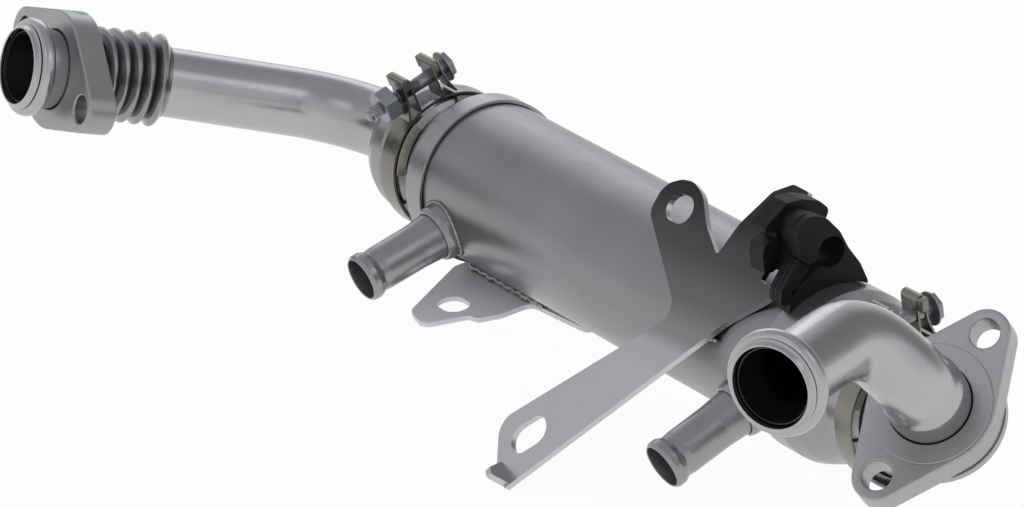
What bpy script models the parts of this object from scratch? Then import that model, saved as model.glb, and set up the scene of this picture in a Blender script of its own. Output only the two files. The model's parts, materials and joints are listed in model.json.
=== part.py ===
"""Exhaust gas recirculation cooler with its gas pipes, clamps, coolant stubs and brackets.

The cooler's own axis runs along world X. The row's origin is a point on the outer face of the
mounting bracket, and +X points to the outlet end. All sizes are in metres.
"""

import math

import bmesh
import bpy
from mathutils import Matrix, Vector

PART_NAME = "egr_cooler"
CUTTER_NAME = "cutters"

# Clearances between pieces that touch on the real cooler
GAP = 0.0003
BOLT_CLEARANCE = 0.0004

# Facets around round pieces
SHELL_SIDES = 24
PIPE_SIDES = 16
STUB_SIDES = 16
TUBE_SIDES = 8
BEND_STEP = math.radians(10)

# Cooler shell
SHELL_RADIUS = 0.0325
SHELL_WALL = 0.0012
SHELL_LEFT = -0.0882
SHELL_RIGHT = 0.1690

# End caps, which lap over the shell and narrow to the clamped necks
CAP_WALL = 0.0012
INLET_CAP_LAP = 0.0098
OUTLET_CAP_LAP = 0.0135
INLET_CAP_DOME = 0.0125
OUTLET_CAP_DOME = 0.0200
NECK_RADIUS = 0.0246
NECK_WALL = 0.0015
NECK_RUN = 0.0012

# Clamped joints
INLET_CLAMP_X = -0.1085
OUTLET_CLAMP_X = 0.2055
RIM_RADIUS = NECK_RADIUS + 0.0026
RIM_EDGE = 0.0020
RIM_SLOPE = 0.0017
GASKET_THICKNESS = 0.0012
GASKET_WIDTH = 0.0040

# Gas tubes, tube plates and baffles inside the shell
GAS_TUBE_PITCH = 0.0115
GAS_TUBE_LAND = 0.0025
GAS_TUBE_RADIUS = (GAS_TUBE_PITCH - GAS_TUBE_LAND) / 2
GAS_TUBE_WALL = 0.0006
TUBE_PLATE_THICKNESS = 0.0020
TUBE_PLATE_INSET = 0.0020
TUBE_STAND_OUT = 0.0010
BAFFLE_THICKNESS = 0.0012
BAFFLE_POSITIONS = (-0.004, 0.084)
BAFFLE_WINDOW = 0.0235

# Coolant stubs
COOLANT_INLET_X = -0.0663
COOLANT_INLET_DROOP = math.radians(18.9)
COOLANT_OUTLET_X = 0.1435
COOLANT_OUTLET_DROOP = math.radians(24.6)
COOLANT_REACH = 0.0726
COOLANT_RADIUS = 0.0090
COOLANT_WALL = 0.0010
COOLANT_ROOT_RADIUS = 0.0096
COOLANT_ROOT_LENGTH = 0.0140
COOLANT_BEAD_RADIUS = 0.0099
COOLANT_BEAD_LENGTH = 0.0065
COOLANT_INNER_END = 0.0290
COLLAR_RADIUS = 0.0115
COLLAR_TOP_RADIUS = 0.0108
COLLAR_HEIGHT = 0.0046

# Clamp band, its folded ears, V segments, bolt and nut
STRAP_RADIUS = RIM_RADIUS + 0.0016
STRAP_THICKNESS = 0.0010
STRAP_WIDTH = 0.0100
STRAP_SHIFT = 0.0015
EAR_INNER = 0.0052
EAR_OUTER = 0.0094
EAR_SPLAY = 0.0125
EAR_TOP = STRAP_RADIUS + 0.0170
EAR_FOOT = STRAP_RADIUS - 0.0005
EAR_WING_WIDTH = 0.0124
EAR_WING_HEIGHT = 0.0060
EAR_WING_SHIFT = 0.0015
EAR_WING_INSET = 0.0002
CLAMP_BOLT_RADIUS = STRAP_RADIUS + 0.0083
INLET_CLAMP_TURN = math.radians(112.5)
OUTLET_CLAMP_TURN = math.radians(98.5)
SEGMENT_THICKNESS = 0.0010
SEGMENT_FLANK_DROP = 0.0030
SEGMENT_HALF_CREST = 0.0042
SEGMENT_HALF_FOOT = 0.0060
SEGMENT_SPANS = ((22, 67), (94, 266), (293, 338))
BOLT_RADIUS = 0.0028
BOLT_HEAD_ACROSS = 0.0100
BOLT_HEAD_HEIGHT = 0.0022
BOLT_FLANGE_RADIUS = 0.0066
BOLT_FLANGE_HEIGHT = 0.0013
NUT_ACROSS = 0.0130
NUT_HEIGHT = 0.0065
BOLT_TIP = 0.0062

# Gas pipes, their beaded ends and liners
PIPE_RADIUS = 0.0142
PIPE_WALL = 0.0014
END_BORE = 0.0150
END_LIP_RADIUS = 0.0161
END_BEAD_RADIUS = 0.0199
END_BEAD_START = 0.0026
END_BEAD_LENGTH = 0.0060
END_NECK_RADIUS = 0.0159
END_LENGTH = 0.0140
LINER_WALL = 0.0005
LINER_RECESS = 0.0022
LINER_LENGTH = 0.0170

# Inlet side: cup, bent pipe, bellows and flange
CUP_RADIUS = NECK_RADIUS + 0.0030
CUP_LENGTH = 0.0175
CUP_STRAIGHT = 0.0060
CUP_DOME = 0.0095
CUP_COLLAR = 0.0030
INLET_ROLL = math.radians(14)
INLET_PIPE_START = 0.0200
INLET_BEND_START = 0.0358
INLET_BEND_RADIUS = 0.0450
INLET_BEND_ANGLE = math.radians(69.9)
INLET_STRAIGHT = 0.0546
BELLOWS_WAVES = 5
BELLOWS_PITCH = 0.0063
BELLOWS_CREST = 0.0190
BELLOWS_ROOT = 0.0158
BELLOWS_WALL = 0.0007
BELLOWS_BEND = math.radians(15.5)
BELLOWS_CUFF = 0.0045
INLET_STUB_TAIL = 0.0050
INLET_STUB_REACH = 0.0155
INLET_FLANGE_TURN = math.radians(-14)

# Oval two-bolt flanges, the same on both ends
FLANGE_THICKNESS = 0.0118
FLANGE_WAIST = 0.0243
FLANGE_LOBE = 0.0096
FLANGE_HOLE_RADIUS = 0.0056
FLANGE_HOLE_SPACING = 0.0645
FLANGE_EDGE = 0.0010
FLANGE_FACE_STEP = 0.0008
FLANGE_FACE_RADIUS = 0.0232

# Outlet side: elbow casting, flange and swan neck pipe
OUTLET_ROLL = math.radians(46)
HUB_STRAIGHT = 0.0155
HUB_RADIUS = 0.0192
HUB_WALL = 0.0026
HUB_BEND_RADIUS = 0.0205
HUB_BEND_ANGLE = math.radians(65)
HUB_BOSS_RADIUS = 0.0248
HUB_BOSS_HEIGHT = 0.0046
SWAN_COLLAR_RADIUS = 0.0155
SWAN_SEAT_DEPTH = 0.0080
SWAN_COLLAR_REACH = 0.0155
SWAN_FIRST_RADIUS = 0.0280
SWAN_FIRST_ANGLE = math.radians(37.5)
SWAN_MIDDLE = 0.0046
SWAN_TURN = math.radians(129)
SWAN_SECOND_RADIUS = 0.0280
SWAN_SECOND_ANGLE = math.radians(60)
SWAN_LAST = 0.0299

# Mounting bracket: a flat plate tangent to the shell
BRACKET_TURN = math.radians(144.7)
BRACKET_THICKNESS = 0.0025
BRACKET_EYE = (0.0772, 0.0248)
BRACKET_EYE_HOLE = (0.0114, 0.0152)
BRACKET_SLOT = (0.0642, -0.0777)
BRACKET_SLOT_HOLE = (0.0122, 0.0183)
BRACKET_SLOT_TURN = math.radians(50)
BRACKET_LIP = ((0.0008, 0.0), (0.0120, 0.0), (0.0050, 0.0086), (0.0016, 0.0092), (0.0008, 0.0084))
BRACKET_LIP_CORNERS = (11, 12)
BRACKET_DATUM = (0.0980, 0.0060)
BRACKET_ARM_EDGE = 0.1392
BRACKET_OUTLINE = (
    (0.0632, 0.0322, 0.0060), (0.0785, 0.0372, 0.0080), (0.0960, 0.0238, 0.0200),
    (0.1100, 0.0158, 0.0015), (0.1125, 0.0300, 0.0120), (0.1205, 0.0465, 0.0040),
    (0.1290, 0.0525, 0.0030), (BRACKET_ARM_EDGE, 0.0525, 0.0015), (BRACKET_ARM_EDGE, 0.0150, 0.0015),
    (BRACKET_ARM_EDGE + 0.0138, 0.0148, 0.0040), (0.1330, -0.0055, 0.0200), (0.0670, -0.1000, 0.0006),
    (0.0560, -0.0935, 0.0006), (0.0445, -0.0790, 0.0080), (0.1055, -0.0105, 0.0080),
    (0.0620, 0.0185, 0.0060),
)

# Lower bracket: a flat tab tangent to the shell's underside
TAB_TURN = math.radians(277.5)
TAB_THICKNESS = 0.0020
TAB_HOLE = (-0.0545, 0.0378)
TAB_HOLE_SIZE = (0.0112, 0.0148)
TAB_OUTLINE = (
    (-0.0770, -0.0040, 0.0020), (0.0040, -0.0040, 0.0020), (0.0040, 0.0125, 0.0040),
    (-0.0330, 0.0150, 0.0040), (-0.0330, 0.0290, 0.0040), (-0.0365, 0.0385, 0.0030),
    (-0.0415, 0.0385, 0.0040), (-0.0480, 0.0565, 0.0050), (-0.0620, 0.0535, 0.0080),
    (-0.0845, 0.0185, 0.0050), (-0.0845, 0.0108, 0.0015), (-0.0770, 0.0108, 0.0015),
)

# Weld beads in the wedges between the flat plates and the shell
WELD_RADIUS = 0.0010
WELD_SIDES = 6
TAB_WELD = (-0.0765, -0.0345)
BRACKET_WELD = (0.1030, 0.1300)

# Moulded line clip on the bracket's upper arm
CLIP_START = BRACKET_ARM_EDGE + GAP
CLIP_STEP = BRACKET_ARM_EDGE + 0.0093
CLIP_END = BRACKET_ARM_EDGE + 0.0213
CLIP_BORE = (0.0370, -0.0029)
CLIP_BORE_RADIUS = 0.0060
CLIP_MOUTH_WIDTH = 0.0036
CLIP_MOUTH_TURN = math.radians(155.8)
CLIP_HOOK = (
    (0.0323, 0.0204), (0.0446, 0.0170), (0.0488, 0.0113), (0.0514, 0.0038), (0.0507, -0.0023),
    (0.0471, -0.0028), (0.0446, -0.0092), (0.0413, -0.0133), (0.0365, -0.0143), (0.0339, -0.0100),
)
CLIP_LOBE = (
    (0.0317, -0.0029), (0.0236, 0.0007), (0.0180, 0.0098), (0.0230, 0.0146), (0.0266, 0.0162),
    (0.0311, 0.0134), (0.0331, 0.0150), (0.0311, 0.0191),
)
CLIP_BODY = (
    (0.0434, 0.0189), (0.0469, 0.0071), (0.0451, -0.0020), (0.0416, -0.0091), (0.0389, -0.0177),
    (0.0351, -0.0246), (0.0305, -0.0291), (0.0053, -0.0057), (0.0091, 0.0001), (0.0176, 0.0047),
    (0.0292, 0.0085), (0.0359, 0.0151),
)
CLIP_JAW = ((0.0110, 0.0028), (0.0285, 0.0028), (0.0285, 0.0088), (0.0150, 0.0085), (0.0110, 0.0060))
CLIP_JAW_START = BRACKET_ARM_EDGE + 0.0138
CLIP_PLATE_SEAT = (BRACKET_ARM_EDGE + 0.0141, 0.0151)

STAINLESS = ("stainless_satin", (0.56, 0.55, 0.57), 0.35, 1.0)
CLAMP_STEEL = ("clamp_steel", (0.47, 0.45, 0.41), 0.38, 1.0)
BOLT_ZINC = ("bolt_zinc", (0.45, 0.47, 0.50), 0.40, 1.0)
BLACK_PLASTIC = ("black_plastic", (0.025, 0.027, 0.03), 0.55, 0.0)
GRAPHITE = ("graphite_gasket", (0.10, 0.10, 0.10), 0.80, 0.0)

UP = Vector((0.0, 0.0, 1.0))


def clear_scene():
    """Remove the objects that are in the scene already."""
    for old in list(bpy.data.objects):
        bpy.data.objects.remove(old, do_unlink=True)


def collection(name):
    """Return the scene's collection of this name, made if it is missing."""
    found = bpy.data.collections.get(name)
    if found is None:
        found = bpy.data.collections.new(name)
        bpy.context.scene.collection.children.link(found)
    return found


def material(finish):
    """Return the Principled material of a finish (name, colour, roughness, metallic)."""
    name, colour, roughness, metallic = finish
    found = bpy.data.materials.get(name)
    if found is None:
        found = bpy.data.materials.new(name)
        found.use_nodes = True
        shader = found.node_tree.nodes["Principled BSDF"]
        shader.inputs["Base Color"].default_value = (*colour, 1.0)
        shader.inputs["Roughness"].default_value = roughness
        shader.inputs["Metallic"].default_value = metallic
    return found


def datum_offset():
    """Return the bracket point that becomes the row's origin."""
    return bracket_frame() @ Vector((*BRACKET_DATUM, BRACKET_THICKNESS))


def datum():
    """Return the empty that carries every piece and sets the row's origin."""
    found = bpy.data.objects.get("cooler_datum")
    if found is None:
        found = bpy.data.objects.new("cooler_datum", None)
        found.location = -datum_offset()
        collection(PART_NAME).objects.link(found)
    return found


def new_object(name, mesh, matrix, finish):
    """Link a mesh as a named piece of the cooler."""
    piece = bpy.data.objects.new(name, mesh)
    collection(PART_NAME).objects.link(piece)
    mesh.materials.append(material(finish))
    piece.parent = datum()
    piece.location, piece.rotation_euler = matrix.to_translation(), matrix.to_euler()
    return piece


def new_cutter(name, mesh, matrix):
    """Link a mesh as a hidden cutter."""
    cutter = bpy.data.objects.new(name, mesh)
    collection(CUTTER_NAME).objects.link(cutter)
    cutter.parent = datum()
    cutter.location, cutter.rotation_euler = matrix.to_translation(), matrix.to_euler()
    cutter.hide_render = True
    cutter.display_type = "WIRE"
    return cutter


def combine(piece, tool, operation):
    """Add an exact Boolean of a tool object to a piece."""
    step = piece.modifiers.new(tool.name, "BOOLEAN")
    step.operation = operation
    step.object = tool
    step.solver = "EXACT"


def mesh_from(bm, name, smooth_angle=math.radians(35)):
    """Turn a bmesh into a smooth-shaded mesh with sharp edges kept."""
    mesh = bpy.data.meshes.new(name)
    bm.to_mesh(mesh)
    bm.free()
    mesh.shade_smooth()
    mesh.set_sharp_from_angle(angle=smooth_angle)
    return mesh


def axis_frame(origin, axis, side):
    """Return a frame at origin with local Z along axis and local X towards side."""
    z = Vector(axis).normalized()
    x = (Vector(side) - z * Vector(side).dot(z)).normalized()
    turn = Matrix((x, z.cross(x), z)).transposed()
    return Matrix.Translation(Vector(origin)) @ turn.to_4x4()


def along(frame, length):
    """Return the frame moved along its own Z."""
    return frame @ Matrix.Translation((0.0, 0.0, length))


def rolled(frame, angle):
    """Return the frame turned about its own Z."""
    return frame @ Matrix.Rotation(angle, 4, "Z")


def bent(frame, radius, angle):
    """Return the frame at the end of a bend towards its own X."""
    centre = Matrix.Translation((radius, 0.0, 0.0))
    return frame @ centre @ Matrix.Rotation(angle, 4, "Y") @ centre.inverted()


def turned(name, profile, frame, finish, sides, closed=True):
    """Make a turned piece: a profile of (radius, height) points, outer side first and downwards.

    The profile is screwed about the frame's Z. A closed profile makes a ring or a tube.
    """
    mesh = bpy.data.meshes.new(name)
    points = [(radius, 0.0, height) for radius, height in profile]
    edges = [(i, i + 1) for i in range(len(points) - 1)]
    if closed:
        edges.append((len(points) - 1, 0))
    mesh.from_pydata(points, edges, [])
    piece = new_object(name, mesh, frame, finish)
    screw = piece.modifiers.new("turn", "SCREW")
    screw.axis = "Z"
    screw.steps = screw.render_steps = sides
    screw.use_merge_vertices = True
    screw.merge_threshold = 0.00001
    screw.use_smooth_shade = True
    return piece


def circle_points(radius, sides):
    """Return the points of a circle in the XY plane."""
    step = 2 * math.pi / sides
    return [Vector((radius * math.cos(i * step), radius * math.sin(i * step), 0)) for i in range(sides)]


def lofted(name, stations, finish, sides):
    """Make a piece through rings: stations are (frame, radius), first the outer skin, then the bore.

    The last ring joins the first, so the skin and the bore close into one wall.
    """
    bm = bmesh.new()
    rings = []
    for frame, radius in stations:
        rings.append([bm.verts.new(frame @ point) for point in circle_points(radius, sides)])
    for here, there in zip(rings, rings[1:] + rings[:1]):
        for i in range(sides):
            j = (i + 1) % sides
            bm.faces.new((here[i], here[j], there[j], there[i]))
    bmesh.ops.recalc_face_normals(bm, faces=bm.faces)
    return new_object(name, mesh_from(bm, name), Matrix(), finish)


def prism(outline, thickness):
    """Return a bmesh of a flat outline grown along +Z by a thickness."""
    bm = bmesh.new()
    face = bm.faces.new([bm.verts.new((x, y, 0.0)) for x, y in outline])
    grown = bmesh.ops.extrude_face_region(bm, geom=[face])
    lifted = [v for v in grown["geom"] if isinstance(v, bmesh.types.BMVert)]
    bmesh.ops.translate(bm, verts=lifted, vec=(0.0, 0.0, thickness))
    bmesh.ops.recalc_face_normals(bm, faces=bm.faces)
    return bm


def rod_cutter(name, frame, radius, length, sides=TUBE_SIDES * 2):
    """Make a round cutter that is centred on a frame and runs along its Z."""
    bm = bmesh.new()
    bmesh.ops.create_cone(bm, cap_ends=True, segments=sides, radius1=radius, radius2=radius, depth=length)
    return new_cutter(name, mesh_from(bm, name), frame)


def slot_outline(width, length, centre, turn, steps=8):
    """Return the outline of a slot with round ends, long side along the turned X."""
    reach = (length - width) / 2
    points = []
    for end, start in ((1, -math.pi / 2), (-1, math.pi / 2)):
        for i in range(steps + 1):
            angle = start + math.pi * i / steps
            x = end * reach + width / 2 * math.cos(angle)
            y = width / 2 * math.sin(angle)
            points.append((centre[0] + x * math.cos(turn) - y * math.sin(turn),
                           centre[1] + x * math.sin(turn) + y * math.cos(turn)))
    return points


def rounded_outline(corners, steps=5):
    """Return an outline with each corner (x, y, radius) replaced by an arc."""
    points = []
    count = len(corners)
    for i, (x, y, radius) in enumerate(corners):
        here = Vector((x, y))
        before = (Vector(corners[i - 1][:2]) - here).normalized()
        after = (Vector(corners[(i + 1) % count][:2]) - here).normalized()
        half = math.acos(max(-1.0, min(1.0, before.dot(after)))) / 2
        reach = radius / math.tan(half)
        start, end = here + before * reach, here + after * reach
        centre = here + (before + after).normalized() * (radius / math.sin(half))
        first, last = start - centre, end - centre
        sweep = first.angle_signed(last)
        for k in range(steps + 1):
            arm = first.copy()
            arm.rotate(Matrix.Rotation(-sweep * k / steps, 2))
            points.append(tuple(centre + arm))
    return points


def oval_outline(waist, lobe, half_spacing, steps=7):
    """Return the outline of a two-bolt flange: two lobes joined to a round waist by tangents."""
    touch = math.acos((waist - lobe) / half_spacing)
    arcs = ((half_spacing, lobe, -touch, touch), (0.0, waist, touch, math.pi - touch),
            (-half_spacing, lobe, math.pi - touch, math.pi + touch),
            (0.0, waist, math.pi + touch, 2 * math.pi - touch))
    points = []
    for centre, radius, start, end in arcs:
        for i in range(steps + 1):
            angle = start + (end - start) * i / steps
            points.append((centre + radius * math.cos(angle), radius * math.sin(angle)))
    return points


def shell_frame(x, sign=1):
    """Return a frame on the cooler's axis whose Z looks to +X or -X."""
    return axis_frame((x, 0.0, 0.0), (sign, 0.0, 0.0), UP)


def radial_frame(x, droop):
    """Return a frame on the axis whose Z looks to the front, dropped by an angle."""
    return axis_frame((x, 0.0, 0.0), (0.0, -math.cos(droop), -math.sin(droop)), (1.0, 0.0, 0.0))


def tangent_frame(turn, stand_off):
    """Return a frame on a plane tangent to the shell: X along the cooler, Z outwards."""
    out = Vector((0.0, math.cos(turn), math.sin(turn)))
    return axis_frame(out * stand_off, out, (1.0, 0.0, 0.0))


def bracket_frame():
    """Return the frame of the mounting bracket's inner face."""
    return tangent_frame(BRACKET_TURN, SHELL_RADIUS + GAP)


def tab_frame():
    """Return the frame of the lower bracket's inner face, with Y towards the front."""
    return tangent_frame(TAB_TURN, SHELL_RADIUS + GAP)


def make_shell():
    """Make the cooler's drawn tube with its two coolant holes."""
    inner = SHELL_RADIUS - SHELL_WALL
    length = SHELL_RIGHT - SHELL_LEFT
    profile = [(SHELL_RADIUS, length), (SHELL_RADIUS, 0.0), (inner, 0.0), (inner, length)]
    shell = turned("cooler_shell", profile, shell_frame(SHELL_LEFT), STAINLESS, SHELL_SIDES)
    for name, x, droop in (("inlet", COOLANT_INLET_X, COOLANT_INLET_DROOP),
                           ("outlet", COOLANT_OUTLET_X, COOLANT_OUTLET_DROOP)):
        seat = along(radial_frame(x, droop), SHELL_RADIUS)
        hole = rod_cutter(f"coolant_{name}_hole", seat, COOLANT_ROOT_RADIUS + GAP, 4 * COOLANT_ROOT_RADIUS)
        combine(shell, hole, "DIFFERENCE")


def rim_profile():
    """Return the clamped rim's (radius, height from the joint) points, from its back to its face."""
    face = GASKET_THICKNESS / 2 + GAP
    return ((NECK_RADIUS, face + RIM_EDGE + RIM_SLOPE), (RIM_RADIUS, face + RIM_EDGE), (RIM_RADIUS, face))


def make_cap(name, joint, lap, dome, shell_end):
    """Make an end cap: skirt over the shell, rounded shoulder, cone, neck and clamped rim."""
    skirt = SHELL_RADIUS + GAP + CAP_WALL
    base = abs(joint.to_translation().x - shell_end)
    shoulder = base - GAP
    back, edge, face = rim_profile()
    neck_in = NECK_RADIUS - NECK_WALL
    rise = skirt - NECK_RADIUS
    outer = [(skirt, base + lap), (skirt, shoulder)]
    outer += [(skirt - 0.06 * rise, shoulder - 0.14 * dome), (skirt - 0.24 * rise, shoulder - 0.34 * dome),
              (NECK_RADIUS + 0.18 * rise, shoulder - 0.84 * dome), (NECK_RADIUS, shoulder - dome)]
    outer += [back, edge, face]
    inner = [(neck_in, face[1]), (neck_in, shoulder - dome)]
    inner += [(r - CAP_WALL, h) for r, h in reversed(outer[2:5])]
    inner += [(SHELL_RADIUS - SHELL_WALL, shoulder), (SHELL_RADIUS + GAP, shoulder)]
    inner += [(SHELL_RADIUS + GAP, base + lap)]
    turned(name, outer + inner, joint, STAINLESS, SHELL_SIDES)


def tube_centres():
    """Return the gas tubes' centres: one, a ring of six and six more between them."""
    centres = [(0.0, 0.0)]
    for radius, start in ((GAS_TUBE_PITCH, 0.0), (GAS_TUBE_PITCH * math.sqrt(3), math.pi / 6)):
        for i in range(6):
            angle = start + i * math.pi / 3
            centres.append((radius * math.cos(angle), radius * math.sin(angle)))
    return centres


def bundle_cutter(name, frame, length):
    """Make one cutter that drills every gas tube's hole through a plate."""
    bm = bmesh.new()
    for x, y in tube_centres():
        bmesh.ops.create_cone(bm, cap_ends=True, segments=TUBE_SIDES, radius1=GAS_TUBE_RADIUS + GAP,
                              radius2=GAS_TUBE_RADIUS + GAP, depth=length,
                              matrix=Matrix.Translation((x, y, 0.0)))
    return new_cutter(name, mesh_from(bm, name), frame)


def disc_outline(radius, window=None):
    """Return a disc's outline, with the part beyond a chord at x = window left away."""
    cut = math.acos(window / radius) if window else 0.0
    steps = SHELL_SIDES
    count = steps if window is None else steps + 1
    points = []
    for i in range(count):
        angle = cut + (2 * math.pi - 2 * cut) * i / steps
        points.append((radius * math.cos(angle), radius * math.sin(angle)))
    return points


def make_core():
    """Make the tube plates, baffles and gas tubes inside the shell."""
    plate_radius = SHELL_RADIUS - SHELL_WALL - GAP
    left = SHELL_LEFT + TUBE_PLATE_INSET
    right = SHELL_RIGHT - TUBE_PLATE_INSET - TUBE_PLATE_THICKNESS
    plates = [("inlet_tube_plate", left, TUBE_PLATE_THICKNESS, None, 0.0),
              ("outlet_tube_plate", right, TUBE_PLATE_THICKNESS, None, 0.0)]
    for i, x in enumerate(BAFFLE_POSITIONS):
        plates.append((f"baffle_{i + 1}", x, BAFFLE_THICKNESS, BAFFLE_WINDOW, math.pi * (i % 2)))
    for name, x, thickness, window, turn in plates:
        bm = prism(disc_outline(plate_radius, window), thickness)
        plate = new_object(name, mesh_from(bm, name), rolled(shell_frame(x), turn), STAINLESS)
        holes = bundle_cutter(f"{name}_holes", shell_frame(x + thickness / 2), 4 * thickness)
        combine(plate, holes, "DIFFERENCE")
    length = right - left + TUBE_PLATE_THICKNESS + 2 * TUBE_STAND_OUT
    bore = GAS_TUBE_RADIUS - GAS_TUBE_WALL
    profile = [(GAS_TUBE_RADIUS, length), (GAS_TUBE_RADIUS, 0.0), (bore, 0.0), (bore, length)]
    for number, (x, y) in enumerate(tube_centres(), start=1):
        frame = shell_frame(left - TUBE_STAND_OUT) @ Matrix.Translation((x, y, 0.0))
        turned(f"gas_tube_{number:02d}", profile, frame, STAINLESS, TUBE_SIDES)


def make_coolant_stub(side, x, droop):
    """Make a beaded coolant stub and the welded collar round its root."""
    frame = radial_frame(x, droop)
    end, root = COOLANT_REACH, COOLANT_ROOT_RADIUS
    bead, wall = COOLANT_BEAD_LENGTH, COOLANT_WALL
    taper = SHELL_RADIUS + COOLANT_ROOT_LENGTH
    outer = [(COOLANT_RADIUS, end), (COOLANT_BEAD_RADIUS, end - 0.20 * bead),
             (COOLANT_BEAD_RADIUS, end - 0.60 * bead), (COOLANT_RADIUS - wall / 3, end - bead),
             (COOLANT_RADIUS, end - 1.5 * bead), (COOLANT_RADIUS, taper),
             (root, SHELL_RADIUS + COLLAR_HEIGHT), (root, COOLANT_INNER_END)]
    inner = [(root - wall, COOLANT_INNER_END), (root - wall, SHELL_RADIUS + COLLAR_HEIGHT),
             (COOLANT_RADIUS - wall, taper), (COOLANT_RADIUS - wall, end - bead), (COOLANT_RADIUS - wall / 2, end)]
    turned(f"coolant_{side}_stub", outer + inner, frame, STAINLESS, STUB_SIDES)
    top, low, bore = SHELL_RADIUS + COLLAR_HEIGHT, SHELL_RADIUS - COLLAR_HEIGHT, root + GAP
    profile = [(COLLAR_TOP_RADIUS, top), (COLLAR_RADIUS, top - COLLAR_HEIGHT / 2), (COLLAR_RADIUS, low),
               (bore, low), (bore, top)]
    collar = turned(f"coolant_{side}_collar", profile, frame, STAINLESS, STUB_SIDES)
    below = rod_cutter(f"coolant_{side}_collar_seat", shell_frame(x), SHELL_RADIUS + GAP, 4 * COLLAR_RADIUS,
                       SHELL_SIDES * 2)
    combine(collar, below, "DIFFERENCE")


def strap_path():
    """Return the strap's inner side in its own plane: ear loop, round the joint, other ear loop."""
    foot = math.asin(EAR_INNER / STRAP_RADIUS)
    steps = SHELL_SIDES
    ring = []
    for i in range(steps + 1):
        angle = foot + (2 * math.pi - 2 * foot) * i / steps
        ring.append(Vector((STRAP_RADIUS * math.cos(angle), STRAP_RADIUS * math.sin(angle))))
    crown = (EAR_OUTER - EAR_INNER) / 2
    loop = [Vector((EAR_FOOT, EAR_SPLAY)), Vector((EAR_TOP - crown, EAR_OUTER))]
    for i in range(1, 4):
        angle = math.pi / 4 * i
        loop.append(Vector((EAR_TOP - crown + crown * math.sin(angle),
                            EAR_INNER + crown + crown * math.cos(angle))))
    loop.append(Vector((EAR_TOP - crown, EAR_INNER)))
    mirrored = [Vector((p.x, -p.y)) for p in reversed(loop)]
    return loop + ring + mirrored


def strip_outline(path, thickness):
    """Return the closed outline of a strip that follows a path on its left side."""
    offset = []
    for i, here in enumerate(path):
        before = path[max(i - 1, 0)]
        after = path[min(i + 1, len(path) - 1)]
        first = (here - before) if i else (after - here)
        second = (after - here) if i < len(path) - 1 else (here - before)
        a, b = first.normalized(), second.normalized()
        normal = (Vector((a.y, -a.x)) + Vector((b.y, -b.x))).normalized()
        offset.append(here + normal * thickness / max(0.5, normal.dot(Vector((a.y, -a.x)))))
    return [tuple(p) for p in path] + [tuple(p) for p in reversed(offset)]


def make_segment(name, frame, span):
    """Make one pressed V segment: its section spun round part of the joint."""
    crest = STRAP_RADIUS - GAP
    foot = crest - SEGMENT_FLANK_DROP
    t = SEGMENT_THICKNESS
    half = [(crest, SEGMENT_HALF_CREST), (foot, SEGMENT_HALF_FOOT), (foot - 0.4 * t, SEGMENT_HALF_FOOT - 0.9 * t),
            (crest - t, SEGMENT_HALF_CREST - 0.6 * t)]
    section = half + [(r, -z) for r, z in reversed(half)]
    start, end = (math.radians(a) for a in span)
    bm = bmesh.new()
    spot = [Vector((r * math.cos(start), r * math.sin(start), z)) for r, z in section]
    face = bm.faces.new([bm.verts.new(point) for point in spot])
    bmesh.ops.spin(bm, geom=[face, *face.edges, *face.verts], cent=(0, 0, 0), axis=(0, 0, 1),
                   angle=end - start, steps=max(4, round((end - start) / BEND_STEP)), use_duplicate=False)
    bmesh.ops.recalc_face_normals(bm, faces=bm.faces)
    new_object(name, mesh_from(bm, name), frame, CLAMP_STEEL)


def hexagon(across, height, frame, name):
    """Return a hexagonal prism as a cutter or a head, standing on the frame."""
    bm = bmesh.new()
    bmesh.ops.create_cone(bm, cap_ends=True, segments=6, radius1=across / math.sqrt(3),
                          radius2=across / math.sqrt(3), depth=height,
                          matrix=Matrix.Translation((0.0, 0.0, height / 2)))
    return mesh_from(bm, name), frame


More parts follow.
